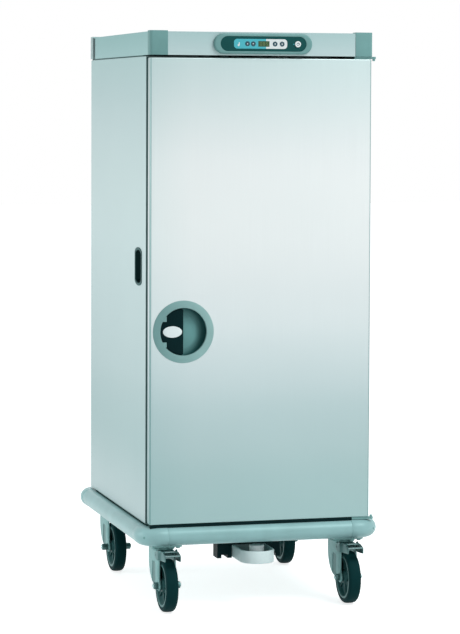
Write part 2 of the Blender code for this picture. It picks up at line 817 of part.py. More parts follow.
def build_door():
    """Door skin, inner panel, insulation, seal, hinges and latch."""
    axis = joint_empty("door_axis", (hinge_x, hinge_y, door_bottom))
    skin = open_box("door_skin", (-half_width, face_y, door_bottom), (half_width, door_back_y, door_top),
                    (0, 1, 0), sheet, "stainless")
    edge = round_edges(skin, door_edge_radius).modifiers["rounded edges"]
    skin.modifiers.move(skin.modifiers.find(edge.name), 0)
    inner_x = half_width - sheet - fit
    inner_low = door_bottom + sheet + fit
    inner_high = door_top - sheet - fit
    panel_y_front = door_back_y - sheet

    outline = rounded_rectangle((-inner_x, inner_low), (inner_x, inner_high), door_edge_radius, 3)
    panel = prism("door_inner_panel", outline, "Y", panel_y_front, door_back_y, "inner_stainless")
    step_x = inner_x - panel_margin
    step_low = inner_low + panel_margin
    step_high = inner_high - panel_margin
    raised = box("panel_step", (-step_x, panel_y_front + sheet / 2, step_low),
                 (step_x, door_back_y + panel_step, step_high))
    hollow = box("panel_step_hollow", (-step_x + sheet, panel_y_front - sheet, step_low + sheet),
                 (step_x - sheet, door_back_y + panel_step - sheet, step_high - sheet))
    join(panel, raised)
    cut(panel, hollow)

    core = box("door_insulation",
               (-half_width + door_edge_radius, face_y + sheet + fit, door_bottom + door_edge_radius),
               (half_width - door_edge_radius, panel_y_front - fit, door_top - door_edge_radius), "foam")
    join(core, box("step_filling", (-step_x + sheet + fit, panel_y_front - 2 * sheet, step_low + sheet + fit),
                   (step_x - sheet - fit, door_back_y + panel_step - sheet - fit, step_high - sheet - fit)))

    bowl_radius = latch_mouth_radius + latch_wall
    hole_place = (latch_x, face_y - sheet, latch_z)
    cut(skin, rod("latch_hole", bowl_radius + fit, hole_place, "Y", 4 * sheet, latch_sides))
    cut(core, rod("bowl_pocket", bowl_radius + 2 * fit, hole_place, "Y",
                  sheet + latch_bowl_depth + latch_wall + 2 * fit, latch_sides))

    seal_x = half_width - seal_inset
    seal_rings = []
    seal_low = door_back_y + fit
    seal_high = body_y - fit
    bulge = seal_width * 0.2
    waist_y = (seal_low + seal_high) / 2
    section = ((0.0, seal_low), (-bulge, waist_y), (0.0, seal_high),
               (-seal_width, seal_high), (-seal_width + bulge, waist_y), (-seal_width, seal_low))
    low_z = door_bottom + seal_inset
    high_z = door_top - seal_inset
    for x_sign, z_place, z_sign in ((1, high_z, 1), (-1, high_z, 1), (-1, low_z, -1), (1, low_z, -1)):
        seal_rings.append([(x_sign * (seal_x + n), y, z_place + z_sign * n) for n, y in section])
    seal = loft("door_seal", seal_rings, "seal_rubber", True)

    leaves = [build_hinge(end) for end in ("bottom", "top")]
    bowl = build_latch_bowl()
    carry(axis, skin, panel, core, seal, bowl, *leaves)
    build_paddle(axis, bowl)
    build_bolt(axis, core, panel)


def build_hinge(end):
    """A pivot bracket with its pin on the cabinet, and the leaf on the door that turns on it."""
    left_x = half_width - leaf_length
    leaf_z = low_leaf_z if end == "bottom" else high_leaf_z
    bracket_z = low_bracket_z if end == "bottom" else high_bracket_z
    ear = arc((hinge_x, hinge_y), hinge_ear_radius, -90, 60, 6)
    rear_y = face_y + bracket_depth
    bracket = prism("hinge_bracket_" + end,
                    [(left_x, hinge_y), (hinge_x - 2 * hinge_ear_radius, hinge_y)] + ear
                    + [(half_width - sheet, hinge_y + 3 * hinge_ear_radius), (half_width - sheet, rear_y),
                       (left_x, rear_y)],
                    "Z", bracket_z, bracket_z + bracket_thickness, "zinc")
    pin_length = bracket_thickness / 2 + fit + leaf_thickness + hinge_pin_rise
    pin_z = bracket_z + bracket_thickness / 2
    if end == "top":
        pin_z -= pin_length
    join(bracket, rod("hinge_pin_" + end, hinge_pin_radius, (hinge_x, hinge_y, pin_z), "Z", pin_length, 16))
    leaf_front = hinge_y + hinge_setback
    leaf = prism("hinge_leaf_" + end,
                 [(left_x, leaf_front), (hinge_x - 2 * hinge_ear_radius, leaf_front)] + ear
                 + [(half_width - sheet, hinge_y + 2 * hinge_ear_radius),
                    (half_width - sheet, leaf_front + leaf_depth), (left_x, leaf_front + leaf_depth)],
                 "Z", leaf_z, leaf_z + leaf_thickness, "zinc")
    cut(leaf, rod("leaf_hole_" + end, hinge_pin_radius + running_fit, (hinge_x, hinge_y, leaf_z - sheet), "Z",
                  leaf_thickness + 2 * sheet, 16))
    return leaf


def build_latch_bowl():
    """Round recess of the latch: a flat ring, a bowl and two lugs for the paddle's pins."""
    mouth = latch_mouth_radius
    depth = latch_bowl_depth
    turn = depth / 2
    corner = arc((mouth - turn, depth - turn), turn, 0, 90, 3)
    outer = [(0.0, depth + latch_wall), (mouth - turn, depth + latch_wall),
             (mouth + latch_wall, depth - turn), (mouth + latch_wall, -fit),
             (latch_ring_radius, -fit), (latch_ring_radius, -latch_ring_proud * 0.5),
             (latch_ring_radius - latch_ring_proud * 0.7, -latch_ring_proud)]
    profile = outer + [(mouth, -latch_ring_proud)] + corner + [(0.0, depth)]
    bowl = turned("latch_bowl", profile, (latch_x, face_y, latch_z), "Y", latch_sides, "teal_plastic")
    for sign, label in ((-1, "low"), (1, "high")):
        lug_z = latch_z + sign * paddle_lug_height
        lug_end = lug_z + sign * paddle_lug_length
        lug = box("latch_lug_" + label,
                  (latch_x - latch_ring_radius, face_y, min(lug_z, lug_end)),
                  (paddle_x + paddle_lug_size / 2, paddle_y + paddle_lug_size / 2, max(lug_z, lug_end)))
        limit = rod("lug_limit_" + label, mouth + latch_wall / 2, (latch_x, face_y - depth, latch_z), "Y",
                    3 * depth, latch_sides)
        combine(lug, "INTERSECT", (limit,))
        join(bowl, lug)
    for sign, label in ((-1, "low"), (1, "high")):
        lug_z = latch_z + sign * (paddle_lug_height + paddle_lug_length / 2)
        cut(bowl, rod("lug_bore_" + label, paddle_pin_radius + running_fit,
                      (paddle_x, paddle_y, lug_z - paddle_lug_length), "Z", 2 * paddle_lug_length, 10))
    return bowl


def build_paddle(door_axis, bowl):
    """Black half-disc pull paddle with a finger lip, turning on pins in the bowl's lugs."""
    radius = paddle_radius
    corner_rise_z = math.sqrt((radius - paddle_corner) ** 2 - paddle_corner ** 2)
    meet = math.degrees(math.atan2(corner_rise_z, -paddle_corner))
    curve = (arc((-paddle_corner, corner_rise_z), paddle_corner, 0, meet, 3)
             + arc((0.0, 0.0), radius, meet, 360 - meet, 22)[1:-1]
             + arc((-paddle_corner, -corner_rise_z), paddle_corner, 360 - meet, 360, 3))
    outline = [(latch_x + x, latch_z + z) for x, z in curve]
    front_y = paddle_y - paddle_thickness / 2
    back_y_paddle = paddle_y + paddle_thickness / 2
    paddle = prism("latch_paddle", outline, "Y", front_y, back_y_paddle, "black_plastic")
    lip_half = radius * 0.9
    join(paddle, box("paddle_lip", (latch_x - paddle_lip_width, paddle_y, latch_z - lip_half),
                     (latch_x, back_y_paddle + paddle_lip_depth, latch_z + lip_half)))
    for sign, label in ((-1, "low"), (1, "high")):
        near = latch_z + sign * (paddle_lug_height - running_fit)
        far = latch_z + sign * (paddle_lug_height + paddle_lug_length + notch_gap)
        cut(paddle, box("paddle_notch_" + label,
                        (latch_x - 2 * radius, front_y - sheet, min(near, far)),
                        (paddle_x + paddle_lug_size / 2 + notch_swing_gap, back_y_paddle + sheet,
                         max(near, far))))
        length = paddle_lug_size * 0.6 + paddle_pin_root
        start = near - paddle_pin_root if sign > 0 else near + paddle_pin_root - length
        join(paddle, rod("paddle_pin_" + label, paddle_pin_radius, (paddle_x, paddle_y, start), "Z",
                         length, 10))
    pivot = joint_empty("paddle_axis", (paddle_x, paddle_y, latch_z), door_axis)
    carry(pivot, paddle)


def build_bolt(door_axis, core, panel):
    """Latch bolt that slides sideways behind the strike's lip, with its pocket and the strike's way in."""
    low_z = strike_z - bolt_height / 2
    high_z = strike_z + bolt_height / 2
    far_x = bolt_x + bolt_length
    rear_y = bolt_y + bolt_depth
    bolt = prism("latch_bolt", ((bolt_x, bolt_y), (far_x, bolt_y), (far_x, rear_y), (bolt_x, rear_y)), "Z",
                 low_z, high_z, "zinc")
    pocket_end = far_x + bolt_travel + running_fit
    cut(core, box("bolt_pocket", (bolt_x - running_fit, bolt_y - running_fit, low_z - running_fit),
                  (pocket_end, door_back_y - sheet, high_z + running_fit)))
    way_low = strike_x - strike_swing_gap
    way_high = strike_x + strike_thickness + strike_lip + strike_swing_gap
    way_bottom = strike_z - strike_height / 2 - strike_swing_gap
    way_top = strike_z + strike_height / 2 + strike_swing_gap
    cut(core, box("strike_pocket", (way_low, strike_y - strike_swing_gap, way_bottom),
                  (way_high, door_back_y - sheet, way_top)))
    cut(panel, box("strike_way", (way_low, door_back_y - 3 * sheet, way_bottom),
                   (way_high, door_back_y + sheet, way_top)))
    slide = joint_empty("bolt_axis", (bolt_x, bolt_y, strike_z), door_axis)
    carry(slide, bolt)


def bumper_station(corner, angle):
    """A place on the bumper's middle line round a corner, with its outward direction."""
    sign_x, sign_y = corner
    middle_x = sign_x * (bumper_x - bumper_corner_radius)
    edge_y = bumper_back_y if sign_y > 0 else bumper_front_y
    middle_y = edge_y - sign_y * bumper_corner_radius
    out = Vector((math.cos(angle), math.sin(angle), 0.0))
    return Vector((middle_x, middle_y, bumper_height)) + out * bumper_corner_radius, out


def bumper_section(radius, wrap, steps):
    """Outward and upward places round the bumper's round section."""
    return [(out, up) for out, up in arc((0.0, 0.0), radius, -wrap, wrap, steps)]


def ring_at(place, out, section):
    """A bumper section set up square to its middle line."""
    return [place + out * reach + Vector((0, 0, up)) for reach, up in section]


def build_bumper():
    """One rail round the base, necked at the corners, and a moulding over each neck."""
    flat_wrap = math.degrees(math.acos(-bumper_flat / bumper_radius))
    steps = 2 * bumper_half_steps
    shell_wrap = flat_wrap * (steps - 2) / steps
    full = bumper_section(bumper_radius, flat_wrap, steps)
    neck_radius = bumper_radius - bumper_neck
    neck = bumper_section(neck_radius, flat_wrap, steps)
    shell_outer = bumper_section(bumper_radius + bumper_corner_proud, shell_wrap, steps - 2)
    shell_inner = bumper_section(neck_radius + fit, shell_wrap, steps - 2)
    shell = shell_outer + shell_inner[::-1]
    rail_rings = []
    corners = ((1, -1, "front_right"), (1, 1, "rear_right"), (-1, 1, "rear_left"), (-1, -1, "front_left"))
    for sign_x, sign_y, label in corners:
        start = math.atan2(sign_y, sign_x) - math.pi / 4
        stations = []
        for i in range(bumper_corner_steps + 1):
            stations.append(bumper_station((sign_x, sign_y), start + math.pi / 2 * i / bumper_corner_steps))
        first_place, first_out = stations[0]
        last_place, last_out = stations[-1]
        before = Vector((first_out.y, -first_out.x, 0.0)) * bumper_corner_leg
        after = Vector((-last_out.y, last_out.x, 0.0)) * bumper_corner_leg
        stations = [(first_place + before, first_out)] + stations + [(last_place + after, last_out)]
        gap_before = before.normalized() * fit
        gap_after = after.normalized() * fit
        rail_rings.append(ring_at(stations[0][0] + gap_before, stations[0][1], full))
        rail_rings += [ring_at(place, out, neck) for place, out in stations]
        rail_rings.append(ring_at(stations[-1][0] + gap_after, stations[-1][1], full))
        loft("bumper_corner_" + label, [ring_at(place, out, shell) for place, out in stations],
             "bumper_plastic", False)
    loft("bumper_rail", rail_rings, "bumper_plastic", True)


def build_chassis():
    """Welded base with the castors' plates, and the seat of the bottom hinge bracket."""
    outline = rounded_rectangle((-chassis_x, chassis_front_y), (chassis_x, chassis_back_y),
                                bumper_corner_radius - bumper_flat - fit, bumper_corner_steps)
    base = prism("chassis", outline, "Z", chassis_bottom, chassis_top, "zinc")
    cut(base, box("chassis_well", (-chassis_x + chassis_rail, chassis_front_y + chassis_beam,
                                   chassis_bottom - chassis_wall),
                  (chassis_x - chassis_rail, chassis_back_y - chassis_beam, chassis_top - chassis_wall)))
    for x_sign in (-1, 1):
        for place_y, end in ((castor_front_y, "front"), (castor_back_y, "rear")):
            low_x, high_x = side_span(x_sign, castor_spread - castor_plate_width / 2,
                                      castor_spread + castor_plate_width / 2)
            join(base, box("castor_plate_%s_%d" % (end, x_sign),
                           (low_x, place_y - castor_plate_length / 2, castor_plate_bottom),
                           (high_x, place_y + castor_plate_length / 2, chassis_bottom + fit)))
    left_x = half_width - leaf_length
    cut(base, box("bracket_seat", (left_x - fit, face_y, low_bracket_z - fit),
                  (half_width, face_y + bracket_depth + fit, chassis_top + bracket_thickness)))


def build_castor(label, x_sign, place_y, braked):
    """A swivel castor: fork with its axle, hub, tyre and, at the front, a brake pedal."""
    place_x = x_sign * castor_spread
    swivel = joint_empty("swivel_" + label, (place_x, place_y, castor_plate_bottom))
    axle_y = place_y - castor_trail
    crown = fork_crown_height
    front = place_y - fork_front_reach
    curve_y = place_y + fork_rear_reach - fork_curve_width
    rear_curve = [(curve_y + fork_curve_width * math.cos(angle),
                   fork_shoulder_height - fork_curve_height * math.sin(angle))
                  for angle in (math.pi / 2 * i / 5 for i in range(6))]
    pad = arc((axle_y, wheel_radius), fork_axle_pad, -75, -215, 5)
    side = [(place_y + fork_rear_reach, crown)] + rear_curve + pad + [
        (front, wheel_radius + fork_pad_neck), (front, fork_shoulder_height),
        (place_y - fork_crown_front, crown)]
    outer = fork_gap / 2 + fork_sheet
    fork = prism("castor_fork_" + label, side, "X", place_x - outer, place_x + outer, "zinc")
    cut(fork, box("fork_slot_" + label, (place_x - fork_gap / 2, axle_y - wheel_radius, 0.0),
                  (place_x + fork_gap / 2, place_y + wheel_radius, crown - fork_sheet)))
    for groove_side, groove_label in ((-1, "left"), (1, "right")):
        groove_low, groove_high = side_span(groove_side, outer - fork_groove_depth, outer + fork_sheet)
        cut(fork, box("fork_groove_%s_%s" % (label, groove_label),
                      (place_x + groove_low, place_y - fork_groove_front, fork_groove_bottom),
                      (place_x + groove_high, place_y + fork_groove_rear, fork_groove_top)))
    head_top = castor_plate_bottom - running_fit
    join(fork, turned("fork_head_" + label, (
        (0.0, head_top), (fork_head_radius - fork_head_edge, head_top),
        (fork_head_radius, head_top - fork_head_edge), (fork_head_radius, crown + 2 * fork_head_edge),
        (fork_head_radius - fork_head_waist, crown - fork_sheet / 2),
        (0.0, crown - fork_sheet / 2)), (place_x, place_y, 0.0), "Z", 16))
    axle_reach = outer + (axle_nut_length if braked else rear_axle_nut_length)
    nut_start = outer - fork_sheet / 2
    join(fork, turned("axle_" + label, (
        (0.0, axle_reach), (axle_nut_radius, axle_reach), (axle_nut_radius, nut_start),
        (axle_radius, nut_start), (axle_radius, -nut_start), (axle_nut_radius, -nut_start),
        (axle_nut_radius, -axle_reach), (0.0, -axle_reach)), (place_x, axle_y, wheel_radius), "X", 8))
    carry(swivel, fork)

    roll = joint_empty("roll_" + label, (place_x, axle_y, wheel_radius), swivel)
    half_step = math.pi / wheel_sides
    tread_radius = wheel_radius / math.cos(half_step)
    rim_radius = wheel_radius - tyre_thickness
    half_tyre = tyre_width / 2
    rim_half = half_tyre - hub_rim_inset
    bore = axle_radius + running_fit
    rim_inner = rim_radius - hub_rim_thickness
    upper = ((bore, hub_length / 2), (hub_boss_radius, hub_length / 2),
             (hub_boss_radius + hub_draft, hub_web_half), (rim_inner, hub_web_half - hub_draft),
             (rim_inner + hub_draft, rim_half), (rim_radius - fit, rim_half))
    hub_profile = list(upper) + [(radius, -height) for radius, height in reversed(upper)]
    hub = turned("castor_hub_" + label, hub_profile, (place_x, axle_y, wheel_radius), "X", wheel_sides,
                 "hub_plastic", ring=True, turn=half_step)
    tread_half = half_tyre - tyre_shoulder
    tyre_profile = ((rim_radius, half_tyre), (tread_radius - tyre_shoulder, half_tyre),
                    (tread_radius, tread_half), (tread_radius, -tread_half),
                    (tread_radius - tyre_shoulder, -half_tyre), (rim_radius, -half_tyre))
    tyre = turned("castor_tyre_" + label, tyre_profile, (place_x, axle_y, wheel_radius), "X", wheel_sides,
                  "tyre_rubber", ring=True, turn=half_step)
    carry(roll, hub, tyre)
    if braked:
        build_pedal(label, place_x, place_y, outer, swivel, fork)


def build_pedal(label, place_x, place_y, outer, swivel, fork):
    """Brake pedal: an open bail that straddles the fork on a cross pin, with a tread and a release bar."""
    pivot_y = place_y - pedal_pivot_reach
    tip_y = place_y - pedal_reach
    bar_y = place_y - pedal_bar_reach
    inner = outer + running_fit
    half = inner + pedal_sheet
    rear_y = pivot_y + pedal_eye
    cheek = [(rear_y, pedal_pivot_height + pedal_eye * 0.7), (rear_y, pedal_pivot_height - pedal_eye * 0.7),
             (pivot_y - pedal_eye, pedal_heel_low), (tip_y, pedal_front_low), (tip_y, pedal_front_top),
             (bar_y, pedal_top), (pivot_y - 2 * pedal_eye, pedal_top), (pivot_y - pedal_eye, pedal_front_top)]
    pedal = prism("brake_pedal_" + label, cheek, "X", place_x - half, place_x + half, "zinc")

    def plan(inset, front, rear):
        wide = half - inset
        narrow = pedal_front_half - inset
        right = [(wide, rear), (wide, place_y - pedal_jog_start), (narrow, place_y - pedal_jog_end),
                 (narrow, front)]
        return [(place_x + x, y) for x, y in right] + [(place_x - x, y) for x, y in reversed(right)]

    bent = prism("pedal_plan_" + label, plan(0.0, tip_y - pedal_eye, rear_y + pedal_eye), "Z",
                 pedal_heel_low - pedal_eye, pedal_top + pedal_eye)
    combine(pedal, "INTERSECT", (bent,))
    middle = plan(pedal_sheet, tip_y - 2 * pedal_eye, rear_y + 2 * pedal_eye)
    cut(pedal, prism("pedal_middle_" + label, middle, "Z", pedal_heel_low - 2 * pedal_eye,
                     pedal_top + 2 * pedal_eye))
    reach = pedal_front_half - pedal_sheet / 2
    join(pedal, box("pedal_tread_" + label,
                    (place_x - reach, tip_y, pedal_front_top - pedal_bar_thickness),
                    (place_x + reach, tip_y + pedal_tread_depth, pedal_front_top)))
    join(pedal, box("pedal_bar_" + label, (place_x - reach, bar_y, pedal_top - pedal_bar_thickness),
                    (place_x + reach, bar_y + pedal_bar_depth, pedal_top)))
    pin_half = inner + pedal_sheet / 2
    pin_start = (place_x - pin_half, pivot_y, pedal_pivot_height)
    join(pedal, rod("pedal_pin_" + label, pedal_pin_radius, pin_start, "X", 2 * pin_half, 12))
    cut(fork, rod("pedal_bore_" + label, pedal_pin_radius + running_fit,
                  (place_x - 2 * outer, pivot_y, pedal_pivot_height), "X", 4 * outer, 12))
    carry(joint_empty("pedal_axis_" + label, (place_x, pivot_y, pedal_pivot_height), swivel), pedal)


def build_tow_coupling():
    """Round-nosed hollow arm with an upright stud, held by a saddle under the chassis."""
    nose_y = face_y - tow_overhang
    radius = tow_width / 2
    rear_y = nose_y + tow_length

    def outline(inset):
        nose = arc((0.0, nose_y + radius), radius - inset, 180, 360, 14)
        return nose + [(radius - inset, rear_y - inset), (-radius + inset, rear_y - inset)]

    arm = prism("tow_arm", outline(0.0), "Z", tow_bottom, tow_top, "pale_plastic")
    cut(arm, prism("tow_arm_hollow", outline(tow_wall), "Z", tow_bottom + tow_wall, tow_top + tow_wall))
    stud_low = tow_bottom + tow_wall / 2
    join(arm, turned("tow_stud", ((0.0, tow_stud_top), (tow_stud_radius - tow_stud_edge, tow_stud_top),
                                  (tow_stud_radius, tow_stud_top - tow_stud_edge),
                                  (tow_stud_radius, stud_low), (0.0, stud_low)),
                     (0.0, nose_y + radius, 0.0), "Z", 28))

    half = tow_bracket_width / 2
    top_z = chassis_bottom - fit
    window_top = tow_top + fit
    gap = radius + fit
    cheek_middle = (half + gap) / 2
    notch = tow_notch_width / 2
    notch_top = tow_bracket_bottom + tow_notch_height

    def cheek(side):
        points = [(half, top_z), (half, tow_bracket_bottom), (cheek_middle + notch, tow_bracket_bottom),
                  (cheek_middle + notch, notch_top), (cheek_middle - notch, notch_top),
                  (cheek_middle - notch, tow_bracket_bottom), (gap, tow_bracket_bottom), (gap, window_top)]
        return [(side * x, z) for x, z in points]

    start_y = face_y + tow_bracket_setback
    prism("tow_bracket", cheek(1) + cheek(-1)[::-1], "Y", start_y, start_y + tow_bracket_depth,
          "black_plastic")


build_cabinet()
build_grips()
build_inside()
build_crown()
build_door()
build_bumper()
build_chassis()
for castor_label, castor_side, castor_place, castor_braked in (
        ("front_left", -1, castor_front_y, True), ("front_right", 1, castor_front_y, True),
        ("rear_left", -1, castor_back_y, False), ("rear_right", 1, castor_back_y, False)):
    build_castor(castor_label, castor_side, castor_place, castor_braked)
build_tow_coupling()

for piece in parts.objects:
    if piece.type == "MESH":
        piece.data.shade_smooth()
        piece.data.set_sharp_from_angle(angle=math.radians(35))
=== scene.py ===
"""Looks of the insulated food carrier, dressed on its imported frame. Metres, Z up."""
import json
import math

import bmesh
import bpy
from mathutils import Matrix, Vector


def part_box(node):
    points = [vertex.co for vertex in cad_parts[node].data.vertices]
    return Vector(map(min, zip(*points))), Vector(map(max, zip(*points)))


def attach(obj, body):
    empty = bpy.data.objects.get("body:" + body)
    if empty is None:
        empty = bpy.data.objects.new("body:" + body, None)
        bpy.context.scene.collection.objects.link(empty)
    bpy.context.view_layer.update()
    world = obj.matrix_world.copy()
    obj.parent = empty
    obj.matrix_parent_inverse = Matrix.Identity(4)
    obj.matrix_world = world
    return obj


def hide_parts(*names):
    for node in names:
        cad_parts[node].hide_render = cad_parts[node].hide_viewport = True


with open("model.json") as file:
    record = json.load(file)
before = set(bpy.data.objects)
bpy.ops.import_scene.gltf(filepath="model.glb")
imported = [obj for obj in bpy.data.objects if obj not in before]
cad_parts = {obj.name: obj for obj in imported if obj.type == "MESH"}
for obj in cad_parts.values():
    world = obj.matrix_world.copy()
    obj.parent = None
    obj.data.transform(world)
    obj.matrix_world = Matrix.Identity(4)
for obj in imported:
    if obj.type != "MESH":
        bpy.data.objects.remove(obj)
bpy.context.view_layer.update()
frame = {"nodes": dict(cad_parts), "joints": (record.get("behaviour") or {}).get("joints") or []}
nodes = frame["nodes"]
joints = {joint["name"]: joint for joint in frame["joints"]}

# Driving places, read from the frame
door_low, door_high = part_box("door_skin")
face_y = door_low.y
half_width = door_high.x
casing_low, casing_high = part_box("outer_casing")
crown_low, crown_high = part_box("crown_cover")
corner_names = ("front_left", "front_right", "rear_left", "rear_right")

# Camera that took the photograph, in the photograph's pixels where named so
image_width_pixels = 460
image_height_pixels = 634
focal_pixels = 2527.5
optical_axis_row_pixels = 222.0
camera_place = Vector((-2.0971, -7.3187 + face_y, 1.2572 + door_low.z))
camera_yaw = 0.2665
camera_pitch = 0.046
camera_roll = -0.0039

# Fine details
edge_round = 0.0012
seam = 0.0003
film_thickness = 0.0003
edge_return = 0.013


def fillet(points, radius, steps=4):
    """Round the corners of a closed outline. The radius is one value or one for each corner."""
    rounded = []
    count = len(points)
    for i, point in enumerate(points):
        size = radius[i] if isinstance(radius, (list, tuple)) else radius
        corner = Vector(point)
        back = Vector(points[i - 1]) - corner
        ahead = Vector(points[(i + 1) % count]) - corner
        turn = back.angle(ahead)
        if size <= 0 or turn > math.radians(175):
            rounded.append(corner)
            continue
        reach = min(size / math.tan(turn / 2), back.length * 0.49, ahead.length * 0.49)
        size = reach * math.tan(turn / 2)
        middle = corner + (back.normalized() + ahead.normalized()).normalized() * (size / math.sin(turn / 2))
        start = corner + back.normalized() * reach - middle
        end = corner + ahead.normalized() * reach - middle
        sweep = start.angle_signed(end)
        for step in range(steps + 1):
            angle = -sweep * step / steps
            rounded.append(middle + Matrix.Rotation(angle, 2) @ start)
    return [(p[0], p[1]) for p in rounded]


def arc(centre, radius, start, end, steps):
    """Points on an arc, in degrees."""
    angles = [math.radians(start + (end - start) * i / steps) for i in range(steps + 1)]
    return [(centre[0] + radius * math.cos(a), centre[1] + radius * math.sin(a)) for a in angles]


def rectangle(low, high):
    return [(low[0], low[1]), (high[0], low[1]), (high[0], high[1]), (low[0], high[1])]


def stadium(centre, width, height, steps=20):
    """A flat oval with straight long sides."""
    half = width / 2 - height / 2
    right = arc((centre[0] + half, centre[1]), height / 2, -90, 90, steps)
    return right + arc((centre[0] - half, centre[1]), height / 2, 90, 270, steps)


def object_from(name, shape):
    """Close a bmesh into an object with outward faces."""
    bmesh.ops.recalc_face_normals(shape, faces=shape.faces)
    mesh = bpy.data.meshes.new(name)
    shape.to_mesh(mesh)
    shape.free()
    piece = bpy.data.objects.new(name, mesh)
    bpy.context.scene.collection.objects.link(piece)
    return piece


def place_along(axis, across, along, depth):
    """A point of an outline whose thickness runs along an axis."""
    if axis == "X":
        return (depth, across, along)
    if axis == "Y":
        return (across, depth, along)
    return (across, along, depth)


def prism(name, points, axis, low, high):
    """A flat outline with thickness along an axis."""
    shape = bmesh.new()
    near = [shape.verts.new(place_along(axis, x, y, low)) for x, y in points]
    far = [shape.verts.new(place_along(axis, x, y, high)) for x, y in points]
    shape.faces.new(near)
    shape.faces.new(far[::-1])
    for i in range(len(points)):
        shape.faces.new((near[i - 1], near[i], far[i], far[i - 1]))
    return object_from(name, shape)


def box(name, low, high):
    return prism(name, rectangle(low, high), "Z", low[2], high[2])


def loft(name, rings, closed):
    """A solid through rings of equally many points."""
    shape = bmesh.new()
    loops = [[shape.verts.new(point) for point in ring] for ring in rings]
    following = loops[1:] + loops[:1] if closed else loops[1:]
    for near, far in zip(loops, following):
        for i in range(len(near)):
            shape.faces.new((near[i - 1], near[i], far[i], far[i - 1]))
    if not closed:
        shape.faces.new(loops[0])
        shape.faces.new(loops[-1])
    return object_from(name, shape)


def revolve(name, profile, place, axis, steps=64, ring=False):
    """A (radius, height) profile turned about an axis through a place."""
    shape = bmesh.new()
    rows = []
    for radius, height in profile:
        if radius < 1e-7:
            rows.append([shape.verts.new(Vector(place) + turned_point(axis, 0.0, 0.0, height))] * steps)
            continue
        row = []
        for i in range(steps):
            angle = 2 * math.pi * i / steps
            row.append(shape.verts.new(Vector(place) + turned_point(axis, radius * math.cos(angle),
                                                                     radius * math.sin(angle), height)))
        rows.append(row)
    pairs = list(zip(rows, rows[1:] + (rows[:1] if ring else [])))
    for near, far in pairs:
        for i in range(steps):
            corners = []
            for vertex in (near[i - 1], near[i], far[i], far[i - 1]):
                if vertex not in corners:
                    corners.append(vertex)
            if len(corners) > 2:
                shape.faces.new(corners)
    return object_from(name, shape)


def turned_point(axis, first, second, height):
    if axis == "X":
        return Vector((height, first, second))
    if axis == "Y":
        return Vector((first, height, second))
    return Vector((first, second, height))


def tube(name, points, radius, sides=12):
    """A round tube along points, with flat ends."""
    rings = []
    path = [Vector(point) for point in points]
    for i, point in enumerate(path):
        ahead = path[min(i + 1, len(path) - 1)] - path[max(i - 1, 0)]
        turn = ahead.to_track_quat("Z", "X").to_matrix()
        rings.append([point + turn @ Vector((radius * math.cos(a), radius * math.sin(a), 0.0))
                      for a in [2 * math.pi * k / sides for k in range(sides)]])
    return loft(name, rings, False)


def bake(piece):
    """Put a piece's modifiers into its mesh."""
    bpy.context.view_layer.update()
    ready = piece.evaluated_get(bpy.context.evaluated_depsgraph_get())
    mesh = bpy.data.meshes.new_from_object(ready)
    piece.modifiers.clear()
    piece.data = mesh
    return piece


def combine(piece, operation, tools):
    """Cut or join a piece with tools and drop the tools."""
    for tool in tools:
        step = piece.modifiers.new(tool.name, "BOOLEAN")
        step.operation = operation
        step.solver = "EXACT"
        step.object = tool
    bake(piece)
    for tool in tools:
        bpy.data.objects.remove(tool)
    return piece


def cut(piece, *tools):
    return combine(piece, "DIFFERENCE", tools)


def join(piece, *tools):
    return combine(piece, "UNION", tools)


def soften(piece, width=edge_round, segments=3, limit=35):
    """Round a piece's sharp edges."""
    edge = piece.modifiers.new("soft edges", "BEVEL")
    edge.width = width
    edge.segments = segments
    edge.limit_method = "ANGLE"
    edge.angle_limit = math.radians(limit)
    edge.use_clamp_overlap = True
    return bake(piece)


def dress(piece, look, body, slot, *replaced):
    """Give a piece its look and its body, and hide the nodes that it stands for. The slot is not used."""
    piece.data.materials.clear()
    piece.data.materials.append(look)
    piece.data.shade_smooth()
    piece.data.set_sharp_from_angle(angle=math.radians(32))
    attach(piece, body)
    if replaced:
        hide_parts(*replaced)
    return piece


def repaint(look, *names, edge=0.0):
    """Give nodes of the frame a look and, where asked, soft edges."""
    for name in names:
        node = nodes[name]
        node.data.materials.clear()
        node.data.materials.append(look)
        if edge:
            soft = node.modifiers.new("soft edges", "BEVEL")
            soft.width = edge
            soft.segments = 2
            soft.limit_method = "ANGLE"
            soft.angle_limit = math.radians(40)


def shader_of(name):
    """A new node material, its tree and its main shader."""
    look = bpy.data.materials.new(name)
    look.use_nodes = True
    return look, look.node_tree, look.node_tree.nodes["Principled BSDF"]


def noise(tree, scale, stretch=(1.0, 1.0, 1.0), detail=4.0):
    """Noise in a piece's own coordinates, stretched along its axes."""
    where = tree.nodes.new("ShaderNodeTexCoord")
    scaled = tree.nodes.new("ShaderNodeMapping")
    scaled.inputs["Scale"].default_value = stretch
    grain = tree.nodes.new("ShaderNodeTexNoise")
    grain.inputs["Scale"].default_value = scale
    grain.inputs["Detail"].default_value = detail
    tree.links.new(where.outputs["Object"], scaled.inputs["Vector"])
    tree.links.new(scaled.outputs["Vector"], grain.inputs["Vector"])
    return grain.outputs["Fac"]


def ramp(tree, value, first, second, low=0.3, high=0.7):
    """Colours or greys between two ends, driven by a value."""
    blend = tree.nodes.new("ShaderNodeValToRGB")
    blend.color_ramp.elements[0].position = low
    blend.color_ramp.elements[1].position = high
    blend.color_ramp.elements[0].color = (*first, 1.0)
    blend.color_ramp.elements[1].color = (*second, 1.0)
    tree.links.new(value, blend.inputs["Fac"])
    return blend.outputs["Color"]


